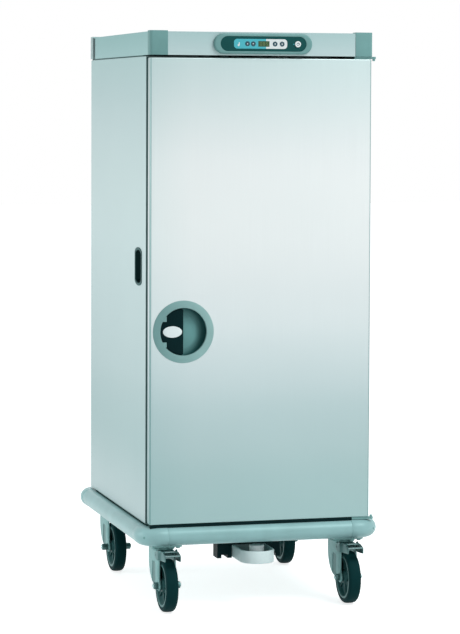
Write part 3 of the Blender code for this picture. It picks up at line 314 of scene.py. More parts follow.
def bump(tree, shader, height, strength, distance):
    """Raise a shader's surface by a height."""
    relief = tree.nodes.new("ShaderNodeBump")
    relief.inputs["Strength"].default_value = strength
    relief.inputs["Distance"].default_value = distance
    tree.links.new(height, relief.inputs["Height"])
    tree.links.new(relief.outputs["Normal"], shader.inputs["Normal"])


def brushed_metal(name, stops, roughness, grain_along, contrast=0.03, metallic=0.75):
    """Metal sheet with a fine brushed grain along an axis, faint smudges and painted light and shade that change with
    height.
    """
    look, tree, shader = shader_of(name)
    shader.inputs["Metallic"].default_value = metallic
    stretch = {"X": (4.0, 900.0, 900.0), "Y": (900.0, 4.0, 900.0), "Z": (900.0, 900.0, 4.0)}[grain_along]
    streaks = noise(tree, 1.0, stretch, 3.0)
    clouds = noise(tree, 1.6, detail=5.0)
    streak_colour = ramp(tree, streaks, [1.0 - contrast] * 3, [1.0] * 3)
    cloud_colour = ramp(tree, clouds, (0.955, 0.965, 0.97), (1.0, 1.0, 1.0))
    colour = multiply(tree, multiply(tree, painted_light_with_height(tree, stops), streak_colour), cloud_colour)
    tree.links.new(colour, shader.inputs["Base Color"])
    rough = ramp(tree, streaks, [roughness * 0.92] * 3, [roughness * 1.08] * 3)
    tree.links.new(rough, shader.inputs["Roughness"])
    bump(tree, shader, streaks, 0.03, 0.0001)
    return look


def multiply(tree, first, second):
    blend = tree.nodes.new("ShaderNodeMix")
    blend.data_type = "RGBA"
    blend.blend_type = "MULTIPLY"
    blend.inputs["Factor"].default_value = 1.0
    tree.links.new(first, blend.inputs["A"])
    tree.links.new(second, blend.inputs["B"])
    return blend.outputs["Result"]


def painted_light_with_height(tree, stops):
    """Painted light and shade: a colour that changes with height, from stops of height and colour."""
    place = tree.nodes.new("ShaderNodeTexCoord")
    split = tree.nodes.new("ShaderNodeSeparateXYZ")
    tree.links.new(place.outputs["Object"], split.inputs["Vector"])
    span = tree.nodes.new("ShaderNodeMapRange")
    span.inputs["From Min"].default_value = 0.0
    span.inputs["From Max"].default_value = crown_high.z
    tree.links.new(split.outputs["Z"], span.inputs["Value"])
    colours = tree.nodes.new("ShaderNodeValToRGB")
    colours.color_ramp.interpolation = "CARDINAL"
    points = colours.color_ramp.elements
    while len(points) < len(stops):
        points.new(0.5)
    for point, (height, colour) in zip(points, stops):
        point.position = height / crown_high.z
        point.color = (*colour, 1.0)
    tree.links.new(span.outputs["Result"], colours.inputs["Fac"])
    return colours.outputs["Color"]


def moulded(name, colour, roughness, grain=900.0, depth=0.00006, contrast=0.10, metallic=0.0, specular=0.5):
    """Moulded plastic, rubber or plated metal with a fine grain and slight tone changes."""
    look, tree, shader = shader_of(name)
    shader.inputs["Metallic"].default_value = metallic
    shader.inputs["Specular IOR Level"].default_value = specular
    shader.inputs["Specular Tint"].default_value = (0.70, 1.0, 1.0, 1.0)
    tone = noise(tree, 9.0, detail=6.0)
    fine = noise(tree, grain, detail=2.0)
    dark = [c * (1.0 - contrast) for c in colour]
    light = [min(1.0, c * (1.0 + contrast)) for c in colour]
    tree.links.new(ramp(tree, tone, dark, light), shader.inputs["Base Color"])
    rough = ramp(tree, fine, [roughness * 0.9] * 3, [min(1.0, roughness * 1.1)] * 3)
    tree.links.new(rough, shader.inputs["Roughness"])
    bump(tree, shader, fine, 0.25, depth)
    return look


# The height stops paint light and shade into the metals: the door and casing darker towards the bottom, brightest near
# 1.2 m and darker again towards the top, the crown darker towards its top.
steel = brushed_metal("brushed_stainless", ((0.30, (0.315, 0.458, 0.458)), (0.46, (0.362, 0.490, 0.493)),
                                            (0.645, (0.451, 0.560, 0.568)), (0.83, (0.600, 0.676, 0.682)),
                                            (1.00, (0.672, 0.726, 0.728)), (1.20, (0.712, 0.757, 0.754)),
                                            (1.40, (0.665, 0.718, 0.718)), (1.66, (0.485, 0.592, 0.592))), 0.44, "Z")
side_steel = brushed_metal("brushed_stainless_casing", ((0.30, (0.385, 0.503, 0.508)), (0.50, (0.322, 0.464, 0.466)),
                                                        (0.70, (0.408, 0.540, 0.544)), (1.05, (0.500, 0.632, 0.634)),
                                                        (1.27, (0.513, 0.645, 0.645)), (1.50, (0.457, 0.598, 0.603)),
                                                        (1.66, (0.385, 0.553, 0.553))), 0.44, "Z")
# Darker steel for the strips over the door's side folds: painted shade along the folds.
edge_shade_steel = brushed_metal("door_edge_shade_steel", ((0.3, (0.165, 0.30, 0.30)), (1.2, (0.275, 0.41, 0.41))), 0.48, "Z")
inner_steel = brushed_metal("inner_stainless", ((0.3, (0.56, 0.62, 0.62)), (1.6, (0.60, 0.66, 0.66))), 0.34, "Y")
aluminium = brushed_metal("brushed_aluminium", ((1.67, (0.450, 0.572, 0.578)), (1.74, (0.360, 0.508, 0.512))),
                          0.46, "X", metallic=0.6)
teal = moulded("teal_plastic", (0.174, 0.352, 0.344), 0.50, specular=0.3)
# A lighter copy of the teal plastic, painting the light that falls on the rear mouldings from behind.
lit_teal = moulded("lit_teal_plastic", (0.420, 0.560, 0.560), 0.45, specular=0.4)
ring_teal = moulded("latch_ring_plastic", (0.315, 0.515, 0.500), 0.46, specular=0.4)
dish_teal = moulded("latch_dish_plastic", (0.165, 0.375, 0.370), 0.42, specular=0.12)
bumper_teal = moulded("bumper_plastic", (0.315, 0.540, 0.545), 0.36, 600.0, 0.00006, specular=0.5)
black = moulded("black_plastic", (0.002, 0.015, 0.017), 0.40, specular=0.06)
grip_black = moulded("grip_plastic", (0.003, 0.020, 0.020), 0.40, metallic=0.8)
fascia_dark = moulded("fascia_film", (0.009, 0.076, 0.074), 0.38, 1500.0, 0.00003, specular=0.12)
rubber = moulded("seal_rubber", (0.120, 0.200, 0.200), 0.70, 500.0, 0.0001, specular=0.2)
tyre_black = moulded("tyre_rubber", (0.004, 0.034, 0.036), 0.60, 420.0, 0.00014, specular=0.05)
hub_grey = moulded("hub_plastic", (0.028, 0.100, 0.100), 0.46, specular=0.2)
rim_grey = moulded("rim_plastic", (0.075, 0.215, 0.210), 0.42, specular=0.4)
frame_grey = moulded("frame_plastic", (0.130, 0.220, 0.220), 0.50, specular=0.2)
zinc = moulded("zinc_plate", (0.180, 0.350, 0.344), 0.42, 300.0, 0.00006, 0.12, 0.35)
dark_zinc = moulded("dark_zinc", (0.070, 0.150, 0.148), 0.38, 300.0, 0.00005, 0.12, 0.45)
chrome = moulded("chrome_plate", (0.36, 0.48, 0.48), 0.24, 260.0, 0.00002, 0.05, 0.9)
pale = moulded("pale_plastic", (0.76, 0.90, 0.90), 0.45, contrast=0.05)
white = moulded("white_plastic", (0.92, 0.96, 0.96), 0.42, contrast=0.03)
cyan_film = moulded("cyan_film", (0.074, 0.470, 0.545), 0.35, 1500.0, 0.00002, 0.04)
white_film = moulded("white_film", (0.78, 0.83, 0.83), 0.35, 1500.0, 0.00002, 0.03)
key_dark = moulded("key_plastic", (0.020, 0.060, 0.085), 0.40, 1200.0, 0.00004)
olive = moulded("display_glass", (0.045, 0.085, 0.028), 0.18, 1500.0, 0.00001, 0.12)
segment = moulded("display_segment", (0.150, 0.230, 0.070), 0.30, 1500.0, 0.00001, 0.05)
badge_plate = moulded("badge_plate", (0.86, 0.95, 0.95), 0.34, 1200.0, 0.00002, 0.03)
foam = moulded("rigid_foam", (0.70, 0.64, 0.46), 0.90, 240.0, 0.0004, 0.15)
heater = moulded("heater_steel", (0.22, 0.20, 0.19), 0.45, 400.0, 0.00005, 0.25, 0.9)


def paint_shade_along(look, axis, low, high, first, second):
    """Paint shade on a look: multiply its colour by a tone that runs from first to second between two places on an
    axis.
    """
    tree = look.node_tree
    shader = tree.nodes["Principled BSDF"]
    colour = shader.inputs["Base Color"].links[0].from_socket
    place = tree.nodes.new("ShaderNodeTexCoord")
    split = tree.nodes.new("ShaderNodeSeparateXYZ")
    span = tree.nodes.new("ShaderNodeMapRange")
    span.inputs["From Min"].default_value = low
    span.inputs["From Max"].default_value = high
    tree.links.new(place.outputs["Object"], split.inputs["Vector"])
    tree.links.new(split.outputs[axis], span.inputs["Value"])
    shade = ramp(tree, span.outputs["Result"], first, second, 0.0, 1.0)
    tree.links.new(multiply(tree, colour, shade), shader.inputs["Base Color"])


def paint_shade_outwards(look, centre, near, far, darkest):
    """Paint shade on a look, darker with the distance from an axis along Y, as a dish's wall falls in shade."""
    tree = look.node_tree
    shader = tree.nodes["Principled BSDF"]
    colour = shader.inputs["Base Color"].links[0].from_socket
    place = tree.nodes.new("ShaderNodeTexCoord")
    flat = tree.nodes.new("ShaderNodeMapping")
    flat.inputs["Scale"].default_value = (1.0, 0.0, 1.0)
    away = tree.nodes.new("ShaderNodeVectorMath")
    away.operation = "DISTANCE"
    away.inputs[1].default_value = (centre.x, 0.0, centre.z)
    tree.links.new(place.outputs["Object"], flat.inputs["Vector"])
    tree.links.new(flat.outputs["Vector"], away.inputs[0])
    shade = ramp(tree, away.outputs["Value"], (1.0, 1.0, 1.0), darkest, near, far)
    tree.links.new(multiply(tree, colour, shade), shader.inputs["Base Color"])


def dress_cabinet():
    """Finishes of the pieces whose solids are right as they are."""
    repaint(side_steel, "outer_casing")
    # Painted shade: the crown's sides and top darker than its front face.
    paint_shade_along(aluminium, "Y", crown_low.y + 0.002, crown_low.y + 0.006, (1.0, 1.0, 1.0), (0.68, 0.905, 0.89))
    repaint(aluminium, "crown_cover")
    racks = ["tray_rack_%s_%s" % (side, half) for side in ("left", "right") for half in ("lower", "upper")]
    repaint(inner_steel, "inner_liner", "duct_panel", "door_inner_panel", *racks)
    repaint(frame_grey, "front_frame")
    repaint(black, "mains_inlet")
    repaint(foam, "insulation_core", "door_insulation")
    repaint(zinc, "fan_motor", "fan_impeller", "latch_bolt", "chassis")
    repaint(heater, "heater_element")
    repaint(zinc, "hinge_bracket_top", "hinge_bracket_bottom", "hinge_leaf_top", "hinge_leaf_bottom", edge=0.0006)


def dress_door():
    """Folded door skin with round edges, darker strips over its side folds that paint the folds' shade, and its seal.
    """
    radius = 0.003
    wall = 0.0012
    back_y = door_high.y
    rings = []
    for i in range(6):
        angle = math.pi / 2 * i / 5
        inset = radius * (1 - math.sin(angle))
        depth = radius * (1 - math.cos(angle))
        rings.append(door_ring(inset, face_y + depth))
    rings.append(door_ring(0.0, back_y))
    rings.append(door_ring(wall, back_y))
    rings.append(door_ring(wall, face_y + radius))
    rings.append(door_ring(radius, face_y + wall))
    skin = loft("door_shell", rings, False)
    latch_low, latch_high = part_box("latch_bowl")
    middle = (latch_low + latch_high) / 2
    cut(skin, revolve("latch_hole", ((0.0, 0.01), (0.0743, 0.01), (0.0743, -0.01), (0.0, -0.01)),
                      (middle.x, face_y, middle.z), "Y", 96))
    # Painted shade: the door darker along its left edge.
    paint_shade_along(steel, "X", -half_width, -half_width + 0.13, (0.92, 0.96, 0.96), (1.0, 1.0, 1.0))
    dress(skin, steel, "door", "stainless", "door_skin")
    for side, label in ((-1, "left"), (1, "right")):
        outer = side * (half_width + film_thickness)
        corner = arc((side * (half_width - radius), face_y + radius), radius + film_thickness,
                     180 if side < 0 else 0, 270 if side < 0 else -90, 8)
        inner = arc((side * (half_width - radius), face_y + radius), radius - film_thickness,
                    270 if side < 0 else -90, 180 if side < 0 else 0, 8)
        back = face_y + edge_return
        outline = [(outer, back)] + corner + inner + [(side * (half_width - film_thickness), back)]
        # Painted shade: a darker strip over each side fold of the door.
        strip = prism("door_edge_" + label, outline, "Z", door_low.z + radius, door_high.z - radius)
        dress(strip, edge_shade_steel, "door", "stainless")

    low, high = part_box("door_seal")
    width = 0.017
    depth = high.y - low.y
    section = fillet(((0.0, low.y), (-0.002, low.y + depth * 0.30), (-0.0005, low.y + depth * 0.45),
                      (-0.003, low.y + depth * 0.75), (0.0, high.y - 0.002), (0.0, high.y), (-width, high.y),
                      (-width, high.y - 0.002), (-width + 0.003, low.y + depth * 0.75),
                      (-width + 0.0005, low.y + depth * 0.45), (-width + 0.002, low.y + depth * 0.30),
                      (-width, low.y)), 0.0012, 3)
    rings = []
    for x_sign, z_sign in ((1, 1), (-1, 1), (-1, -1), (1, -1)):
        edge_x = high.x if x_sign > 0 else -high.x
        edge_z = high.z if z_sign > 0 else low.z
        rings.append([(edge_x + x_sign * n, y, edge_z + z_sign * n) for n, y in section])
    dress(loft("bellows_seal", rings, True), rubber, "door", "seal_rubber", "door_seal")


def door_ring(inset, y):
    """The door's outline drawn in by an inset, at a depth."""
    outline = rectangle((-half_width + inset, door_low.z + inset), (half_width - inset, door_high.z - inset))
    return [(x, y, z) for x, z in fillet(outline, max(0.003 - inset, 0.0006), 4)]


def dress_latch():
    """Dished bowl with a flat ring, half-disc paddle and its bare oval plate."""
    low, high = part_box("latch_bowl")
    place = Vector(((low.x + high.x) / 2, face_y, (low.z + high.z) / 2))
    ring = (high.x - low.x) / 2
    proud = face_y - low.y
    depth = high.y - face_y - 0.002
    mouth = 0.072
    outer = [(mouth - 0.0004, 0.004), (mouth + 0.002, 0.004), (mouth + 0.002, -seam)]
    edge = 0.0011
    outer += arc((ring - edge, -seam), edge, 0, -80, 5)
    outer += arc((mouth + 0.0015, -proud + 0.0019), 0.0019, -82, -180, 6)
    surround = revolve("latch_ring", outer, place, "Y", 96, True)
    shell = [(0.0, depth + 0.002), (mouth - 0.014, depth + 0.002), (mouth + 0.002, depth - 0.012),
             (mouth + 0.002, 0.004), (mouth - 0.0002, 0.004)]
    shell += arc((mouth - 0.018, depth - 0.018), 0.018, 0, 90, 10)
    dish = [(mouth * 0.5, depth - 0.0012), (mouth * 0.25, depth - 0.0024), (0.0, depth - 0.003)]
    bowl = revolve("latch_dish", shell + dish, place, "Y", 96)
    pivot = Vector(joints["paddle_pull"]["pos_m"])
    for sign in (-1, 1):
        start = place.z + sign * 0.031
        ends = sorted((start, start + sign * 0.015))
        lug = prism("lug", fillet(rectangle((place.x - ring, ends[0]), (pivot.x + 0.004, ends[1])), 0.0012), "Y",
                    face_y - 0.002, pivot.y + 0.004)
        limit = revolve("lug_limit", ((0.0, 0.05), (mouth + 0.001, 0.05), (mouth + 0.001, -0.05), (0.0, -0.05)),
                        place, "Y", 96)
        combine(lug, "INTERSECT", (limit,))
        join(surround, lug)
    # Painted shade: the ring darker at its left side and lighter at its right, as the light falls.
    paint_shade_along(ring_teal, "X", place.x - ring, place.x + ring, (0.58, 0.68, 0.69), (1.0, 1.0, 1.0))
    dress(surround, ring_teal, "door", "teal_plastic")
    # Painted shade: the dish darker towards its right wall, which is in shade.
    paint_shade_outwards(dish_teal, place - Vector((0.012, 0.0, 0.0)), 0.054, 0.076, (0.07, 0.17, 0.17))
    dress(bowl, dish_teal, "door", "teal_plastic", "latch_bowl")

    radius = mouth - 0.0022
    half_thick = 0.0025
    corner = 0.0055
    rise = math.sqrt((radius - corner) ** 2 - corner ** 2)
    meet = math.degrees(math.atan2(rise, -corner))
    curve = (arc((-corner, rise), corner, 0, meet, 10) + arc((0, 0), radius, meet, 360 - meet, 64)[1:-1]
             + arc((-corner, -rise), corner, 360 - meet, 360, 10))
    outline = [(place.x + x, place.z + z) for x, z in curve]
    paddle = prism("paddle_plate", outline, "Y", pivot.y - half_thick, pivot.y + half_thick)
    lip = prism("paddle_lip", fillet(rectangle((place.x - 0.005, place.z - radius * 0.86),
                                               (place.x, place.z + radius * 0.86)), 0.002), "Y", pivot.y,
                pivot.y + half_thick + 0.008)
    join(paddle, lip)
    for sign in (-1, 1):
        near = place.z + sign * 0.0306
        ends = sorted((near, near + sign * 0.0164))
        cut(paddle, box("notch", (place.x - 2 * radius, pivot.y - 0.01, ends[0]),
                        (pivot.x + 0.006, pivot.y + 0.01, ends[1])))
        start = near - 0.004 if sign > 0 else near - 0.0048
        join(paddle, revolve("pin", ((0.0, 0.0088), (0.0018, 0.0088), (0.0018, 0.0), (0.0, 0.0)),
                             (pivot.x, pivot.y, start), "Z", 16))
    soften(paddle, 0.0008, 2, 50)
    dress(paddle, black, "paddle", "black_plastic", "latch_paddle")

    plate_x = place.x - 0.0333
    front = pivot.y - half_thick
    badge = loft("badge", [[(plate_x + 0.0294 * scale * math.cos(a), front - lift,
                             place.z + 0.0172 * scale * math.sin(a))
                            for a in [2 * math.pi * k / 64 for k in range(64)]]
                           for scale, lift in ((1.0, -0.0004), (1.0, 0.0006), (0.97, 0.0011), (0.55, 0.0016))], False)
    dress(badge, badge_plate, "paddle", "white_plastic")


def dress_crown():
    """Corner mouldings, control panel with its film, keys and display."""
    for name in corner_names:
        low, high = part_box("crown_corner_" + name)
        side = 1 if name.endswith("right") else -1
        front = name.startswith("front")
        outline = rectangle((low.x, low.y), (high.x, high.y))
        outer_index = {(-1, True): 0, (1, True): 1, (1, False): 2, (-1, False): 3}[(side, front)]
        radii = [0.0008] * 4
        radii[outer_index] = 0.010
        block = prism("crown_moulding_" + name, fillet(outline, radii, 8), "Z", low.z, high.z)
        soften(block, 0.0016, 3, 40)
        wall = 0.003
        radii[outer_index] = 0.007
        hollow = prism("hollow", fillet(rectangle((low.x + wall, low.y + wall), (high.x - wall, high.y - wall)),
                                        radii, 8), "Z", low.z - wall, high.z - wall)
        cut(block, hollow)
        # The rear mouldings take the lighter copy of the teal plastic as painted light.
        dress(block, teal if front else lit_teal, "cabinet", "teal_plastic", "crown_corner_" + name)

    low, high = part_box("control_bezel")
    middle = (0.0, (low.z + high.z) / 2)
    width = high.x - low.x
    height = high.z - low.z
    rings = []
    for i in range(7):
        angle = math.pi / 2 * i / 6
        inset = 0.005 * (1 - math.sin(angle))
        rings.append([(x, low.y + 0.005 * (1 - math.cos(angle)), z)
                      for x, z in stadium(middle, width - 2 * inset, height - 2 * inset, 28)])
    rings.append([(x, high.y, z) for x, z in stadium(middle, width, height, 28)])
    bezel = loft("panel_bezel", rings, False)
    f_low, f_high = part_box("control_fascia")
    cut(bezel, prism("recess", stadium(middle, f_high.x - f_low.x + 2 * seam, f_high.z - f_low.z + 2 * seam, 28),
                     "Y", low.y - 0.01, low.y + 0.008))
    soften(bezel, 0.0006, 2, 50)
    dress(bezel, teal, "cabinet", "teal_plastic", "control_bezel")

    fascia = prism("panel_fascia", stadium(middle, f_high.x - f_low.x, f_high.z - f_low.z, 28), "Y",
                   f_low.y, f_high.y)
    film_y = f_low.y
    keys = [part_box("key_%d" % (i + 1)) for i in range(4)]
    film_low = -0.0925
    film_split = 0.0074
    film_high = 0.0735
    film_half = 0.0145
    z = middle[1]
    left = fillet(rectangle((film_low, z - film_half), (film_split, z + film_half)),
                  [0.010, 0.0, 0.0, 0.010], 8)
    right = fillet(rectangle((film_split, z - film_half), (film_high, z + film_half)),
                   [0.0, 0.010, 0.010, 0.0], 8)
    films = (prism("keypad_film_left", left, "Y", film_y - film_thickness, film_y + film_thickness),
             prism("keypad_film_right", right, "Y", film_y - film_thickness, film_y + film_thickness))
    for key_low, key_high in keys:
        radius = (key_high.x - key_low.x) / 2 + seam
        spot = ((key_low.x + key_high.x) / 2, film_y, (key_low.z + key_high.z) / 2)
        profile = ((0.0, 0.02), (radius, 0.02), (radius, -0.02), (0.0, -0.02))
        cut(fascia, revolve("key_hole", profile, spot, "Y", 48))
        film = films[0] if spot[0] < film_split else films[1]
        cut(film, revolve("film_hole", profile, spot, "Y", 48))
    s_low, s_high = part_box("main_switch")
    switch_radius = (s_high.x - s_low.x) / 2
    switch_x = (s_low.x + s_high.x) / 2
    cut(fascia, revolve("switch_hole", ((0.0, 0.02), (switch_radius + seam, 0.02), (switch_radius + seam, -0.02),
                                        (0.0, -0.02)), (switch_x, film_y, z), "Y", 48))
    glass_low = (-0.0170, z - 0.0085)
    glass_high = (0.0180, z + 0.0085)
    for film in films:
        cut(film, prism("window", rectangle(glass_low, glass_high), "Y", film_y - 0.01, film_y + 0.01))
    dress(fascia, fascia_dark, "cabinet", "dark_fascia", "control_fascia")
    dress(films[0], cyan_film, "cabinet", "dark_fascia")
    dress(films[1], white_film, "cabinet", "white_plastic")
    glass = prism("display_window", fillet(rectangle(glass_low, glass_high), 0.0008), "Y",
                  film_y - film_thickness / 2, film_y + 0.0009)
    dress(glass, olive, "cabinet", "dark_fascia")
    for i, digit in enumerate("085"):
        build_digit(i, digit, -0.0085 + i * 0.0095, z, film_y - film_thickness / 2)

    for i, (key_low, key_high) in enumerate(keys):
        radius = (key_high.x - key_low.x) / 2
        spot = ((key_low.x + key_high.x) / 2, key_low.y, (key_low.z + key_high.z) / 2)
        length = key_high.y - key_low.y
        profile = [(0.0, length), (radius, length)] + arc((radius - 0.0012, 0.0012), 0.0012, 0, -90, 5)
        profile += [(radius * 0.75, 0.0), (radius * 0.6, 0.0004), (0.0, 0.0007)]
        dress(revolve("key_cap_%d" % (i + 1), profile, spot, "Y", 48), key_dark, "key_body_%d" % (i + 1),
              "key_plastic", "key_%d" % (i + 1))
        mark = key_mark(i, spot)
        dress(mark, white_film, "key_body_%d" % (i + 1), "white_plastic")
    length = s_high.y - s_low.y
    rim = 0.0016
    profile = [(0.0, length), (switch_radius, length)]
    profile += arc((switch_radius - rim, rim), rim, 0, -90, 6)
    profile += [(switch_radius * 0.62, 0.0), (switch_radius * 0.55, 0.0007), (0.0, 0.0014)]
    dress(revolve("switch_cap", profile, (switch_x, s_low.y, z), "Y", 64), white, "switch", "white_plastic",
          "main_switch")
    mark = revolve("switch_mark", ((0.0032, -0.0002), (0.0046, -0.0002), (0.0046, 0.0008), (0.0032, 0.0008)),
                   (switch_x, s_low.y + 0.0006, z), "Y", 48, True)
    cut(mark, box("mark_gap", (switch_x - 0.0012, s_low.y - 0.01, z), (switch_x + 0.0012, s_low.y + 0.01, z + 0.01)))
    join(mark, box("mark_bar", (switch_x - 0.0006, s_low.y + 0.0004, z + 0.0012),
                   (switch_x + 0.0006, s_low.y + 0.0014, z + 0.0052)))
    dress(mark, key_dark, "switch", "key_plastic")
    tick = prism("switch_tick", fillet(rectangle((switch_x - 0.0145, z - 0.0012), (switch_x - 0.0105, z + 0.0012)),
                                       0.0008), "Y", film_y - film_thickness, film_y + film_thickness)
    dress(tick, cyan_film, "cabinet", "dark_fascia")
    build_icon(-0.0785, z, film_y - film_thickness)


def dress_vents():
    """Black louvres on a black back plate behind the crown's side vents, beside the rear mouldings; the black back
    plate paints the shade inside the vents.
    """
    blades = 9
    for label, side in (("left", -1), ("right", 1)):
        end_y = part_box("crown_corner_rear_" + label)[0].y - 0.001
        start_y = end_y - 0.034
        back_x = crown_high.x - 0.016
        front_x = crown_high.x - 0.010
        spans = sorted((side * back_x, side * (back_x + 0.002)))
        # The black back plate stands in for the shade inside the vent: painted shade.
        grille = box("vent_louvres_" + label, (spans[0], start_y, crown_low.z + 0.002),
                     (spans[1], end_y, crown_high.z - 0.003))
        pitch = (crown_high.z - crown_low.z - 0.012) / blades
        for i in range(blades):
            low_z = crown_low.z + 0.005 + i * pitch
            blade = [(side * back_x, low_z + 0.003), (side * front_x, low_z), (side * front_x, low_z + 0.0012),
                     (side * back_x, low_z + 0.0045)]
            join(grille, prism("blade", blade, "Y", start_y + 0.0005, end_y - 0.0005))
        dress(grille, black, "cabinet", "black_plastic")


def key_mark(index, spot):
    """A plain mark on a key: up, down, round or square."""
    x, y, z = spot
    size = 0.0022
    shapes = (((-size, -size * 0.7), (size, -size * 0.7), (0.0, size)),
              ((-size, size * 0.7), (0.0, -size), (size, size * 0.7)),
              arc((0.0, 0.0), size * 0.9, 0, 345, 23), rectangle((-size * 0.8, -size * 0.8), (size * 0.8, size * 0.8)))
    points = [(x + a, z + b) for a, b in shapes[index]]
    return prism("key_mark_%d" % (index + 1), points, "Y", y + 0.0002, y + 0.0009)


def build_digit(index, digit, x, z, y):
    """A seven-segment numeral on the display."""
    lit = {"0": "abcdef", "8": "abcdefg", "5": "acdfg"}[digit]
    wide, tall, thick = 0.0022, 0.0046, 0.0005
    bars = {"a": (-wide, wide, tall), "g": (-wide, wide, 0.0), "d": (-wide, wide, -tall)}
    posts = {"b": (wide, 0.0, tall), "c": (wide, -tall, 0.0), "e": (-wide, -tall, 0.0), "f": (-wide, 0.0, tall)}
    shape = bmesh.new()
    for letter in lit:
        if letter in bars:
            start, end, level = bars[letter]
            low, high = (start + thick, level - thick), (end - thick, level + thick)
        else:
            across, start, end = posts[letter]
            low, high = (across - thick, start + thick), (across + thick, end - thick)
        corners = rectangle(low, high)
        near = [shape.verts.new((x + a, y - 0.0001, z + b)) for a, b in corners]
        far = [shape.verts.new((x + a, y + 0.0001, z + b)) for a, b in corners]
        shape.faces.new(near)
        shape.faces.new(far[::-1])
        for i in range(4):
            shape.faces.new((near[i - 1], near[i], far[i], far[i - 1]))
    dress(object_from("display_digit_%d" % (index + 1), shape), segment, "cabinet", "dark_fascia")


def build_icon(x, z, y):
    """A plain thermometer mark on the keypad."""
    stem = prism("thermometer_mark", stadium((x, z + 0.0022), 0.0092, 0.0030, 8), "Y", y - 0.0001, y + 0.0002)
    stem.data.transform(Matrix.Translation((x, 0, z)) @ Matrix.Rotation(math.pi / 2, 4, "Y")
                        @ Matrix.Translation((-x, 0, -z)))
    bulb = prism("bulb", arc((x, z - 0.0045), 0.0030, 0, 345, 23), "Y", y - 0.0001, y + 0.0002)
    join(stem, bulb)
    dress(stem, white_film, "cabinet", "white_plastic")


def dress_grips():
    """Black push cups with a rolled rim."""
    for name, side in (("left", -1), ("right", 1)):
        low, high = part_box("grip_cup_" + name)
        wide = (high.y - low.y) / 2
        tall = (high.z - low.z) / 2
        middle_y = (low.y + high.y) / 2
        middle_z = (low.z + high.z) / 2
        rim_x = half_width + 0.0015
        floor_x = half_width - 0.030
        steps = ((wide - 0.006, tall - 0.006, floor_x), (wide - 0.006, tall - 0.006, half_width + seam),
                 (wide, tall, half_width + seam), (wide, tall, rim_x - 0.0008),
                 (wide - 0.0004, tall - 0.0004, rim_x - 0.0003), (wide - 0.0010, tall - 0.0010, rim_x),
                 (wide - 0.0065, tall - 0.0065, rim_x), (wide - 0.0082, tall - 0.0082, rim_x - 0.0012),
                 (wide - 0.0086, tall - 0.0086, rim_x - 0.004), (wide - 0.0095, tall - 0.0095, floor_x + 0.012),
                 (wide - 0.012, tall - 0.012, floor_x + 0.005), (wide - 0.017, tall - 0.017, floor_x + 0.0025))
        rings = []
        for half_y, half_z, x in steps:
            rings.append([(side * x, y, z) for y, z in bowed((middle_y, middle_z), half_y, half_z, 0.016)])
        dress(loft("push_cup_" + name, rings, False), grip_black, "cabinet", "black_plastic", "grip_cup_" + name)


def bowed(middle, half_y, half_z, rise, steps=24):
    """An outline with straight sides and ends that are half ellipses."""
    upper = [(half_y * a, half_z - rise + rise * b) for a, b in arc((0.0, 0.0), 1.0, 0, 180, steps)]
    return [(middle[0] + y, middle[1] + z) for y, z in upper + [(-y, -z) for y, z in upper]]


def bumper_sizes():
    """The bumper's middle line and radii, read from its solids."""
    low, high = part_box("bumper_rail")
    radius = 0.028
    return low.x + radius, high.x - radius, low.y + radius, high.y - radius, (low.z + high.z) / 2, radius


def bumper_stations(sign_x, sign_y, steps):
    """Places round a corner of the bumper's middle line, with outward directions."""
    left, right, front, back, height, radius = bumper_sizes()
    bend = 0.040
    middle = Vector(((right if sign_x > 0 else left) - sign_x * bend,
                     (back if sign_y > 0 else front) - sign_y * bend, height))
    start = math.atan2(sign_y, sign_x) - math.pi / 4
    stations = []
    for i in range(steps + 1):
        angle = start + math.pi / 2 * i / steps
        out = Vector((math.cos(angle), math.sin(angle), 0.0))
        stations.append((middle + out * bend, out))
    return stations


def ring_at(place, out, section):
    return [place + out * reach + Vector((0, 0, up)) for reach, up in section]


def dress_bumper():
    """Smooth rail round the base and corner caps with a seam and soft lips."""
    radius = bumper_sizes()[5]
    wrap = math.degrees(math.acos(-0.027 / radius))
    full = arc((0, 0), radius, -wrap, wrap, 40)
    neck = arc((0, 0), radius - 0.0035, -wrap, wrap, 40)
    leg = 0.024
    lip = 0.0012
    rings = []
    for sign_x, sign_y, label in ((1, -1, "front_right"), (1, 1, "rear_right"), (-1, 1, "rear_left"),
                                  (-1, -1, "front_left")):
        stations = bumper_stations(sign_x, sign_y, 16)
        before = Vector((stations[0][1].y, -stations[0][1].x, 0.0))
        after = Vector((-stations[-1][1].y, stations[-1][1].x, 0.0))
        start = stations[0][0] + before * leg
        end = stations[-1][0] + after * leg
        rings.append(ring_at(start + before * seam, stations[0][1], full))
        rings.append(ring_at(start, stations[0][1], neck))
        rings += [ring_at(place, out, neck) for place, out in stations]
        rings.append(ring_at(end, stations[-1][1], neck))
        rings.append(ring_at(end + after * seam, stations[-1][1], full))
        cap_wrap = wrap * 10 / 12
        outer = radius + 0.0008
        inner = radius - 0.0032

        def shell(reach):
            return arc((0, 0), reach, -cap_wrap, cap_wrap, 36) + arc((0, 0), inner, cap_wrap, -cap_wrap, 36)

        cap_rings = [ring_at(start, stations[0][1], shell(outer - lip)),
                     ring_at(start - before * lip * 0.4, stations[0][1], shell(outer - lip * 0.3)),
                     ring_at(start - before * lip, stations[0][1], shell(outer))]
        cap_rings += [ring_at(place, out, shell(outer)) for place, out in stations]
        cap_rings += [ring_at(end - after * lip, stations[-1][1], shell(outer)),
                      ring_at(end - after * lip * 0.4, stations[-1][1], shell(outer - lip * 0.3)),
                      ring_at(end, stations[-1][1], shell(outer - lip))]
        dress(loft("bumper_cap_" + label, cap_rings, False), bumper_teal, "cabinet", "bumper_plastic",
              "bumper_corner_" + label)
    dress(loft("bumper_loop", rings, True), bumper_teal, "cabinet", "bumper_plastic", "bumper_rail")


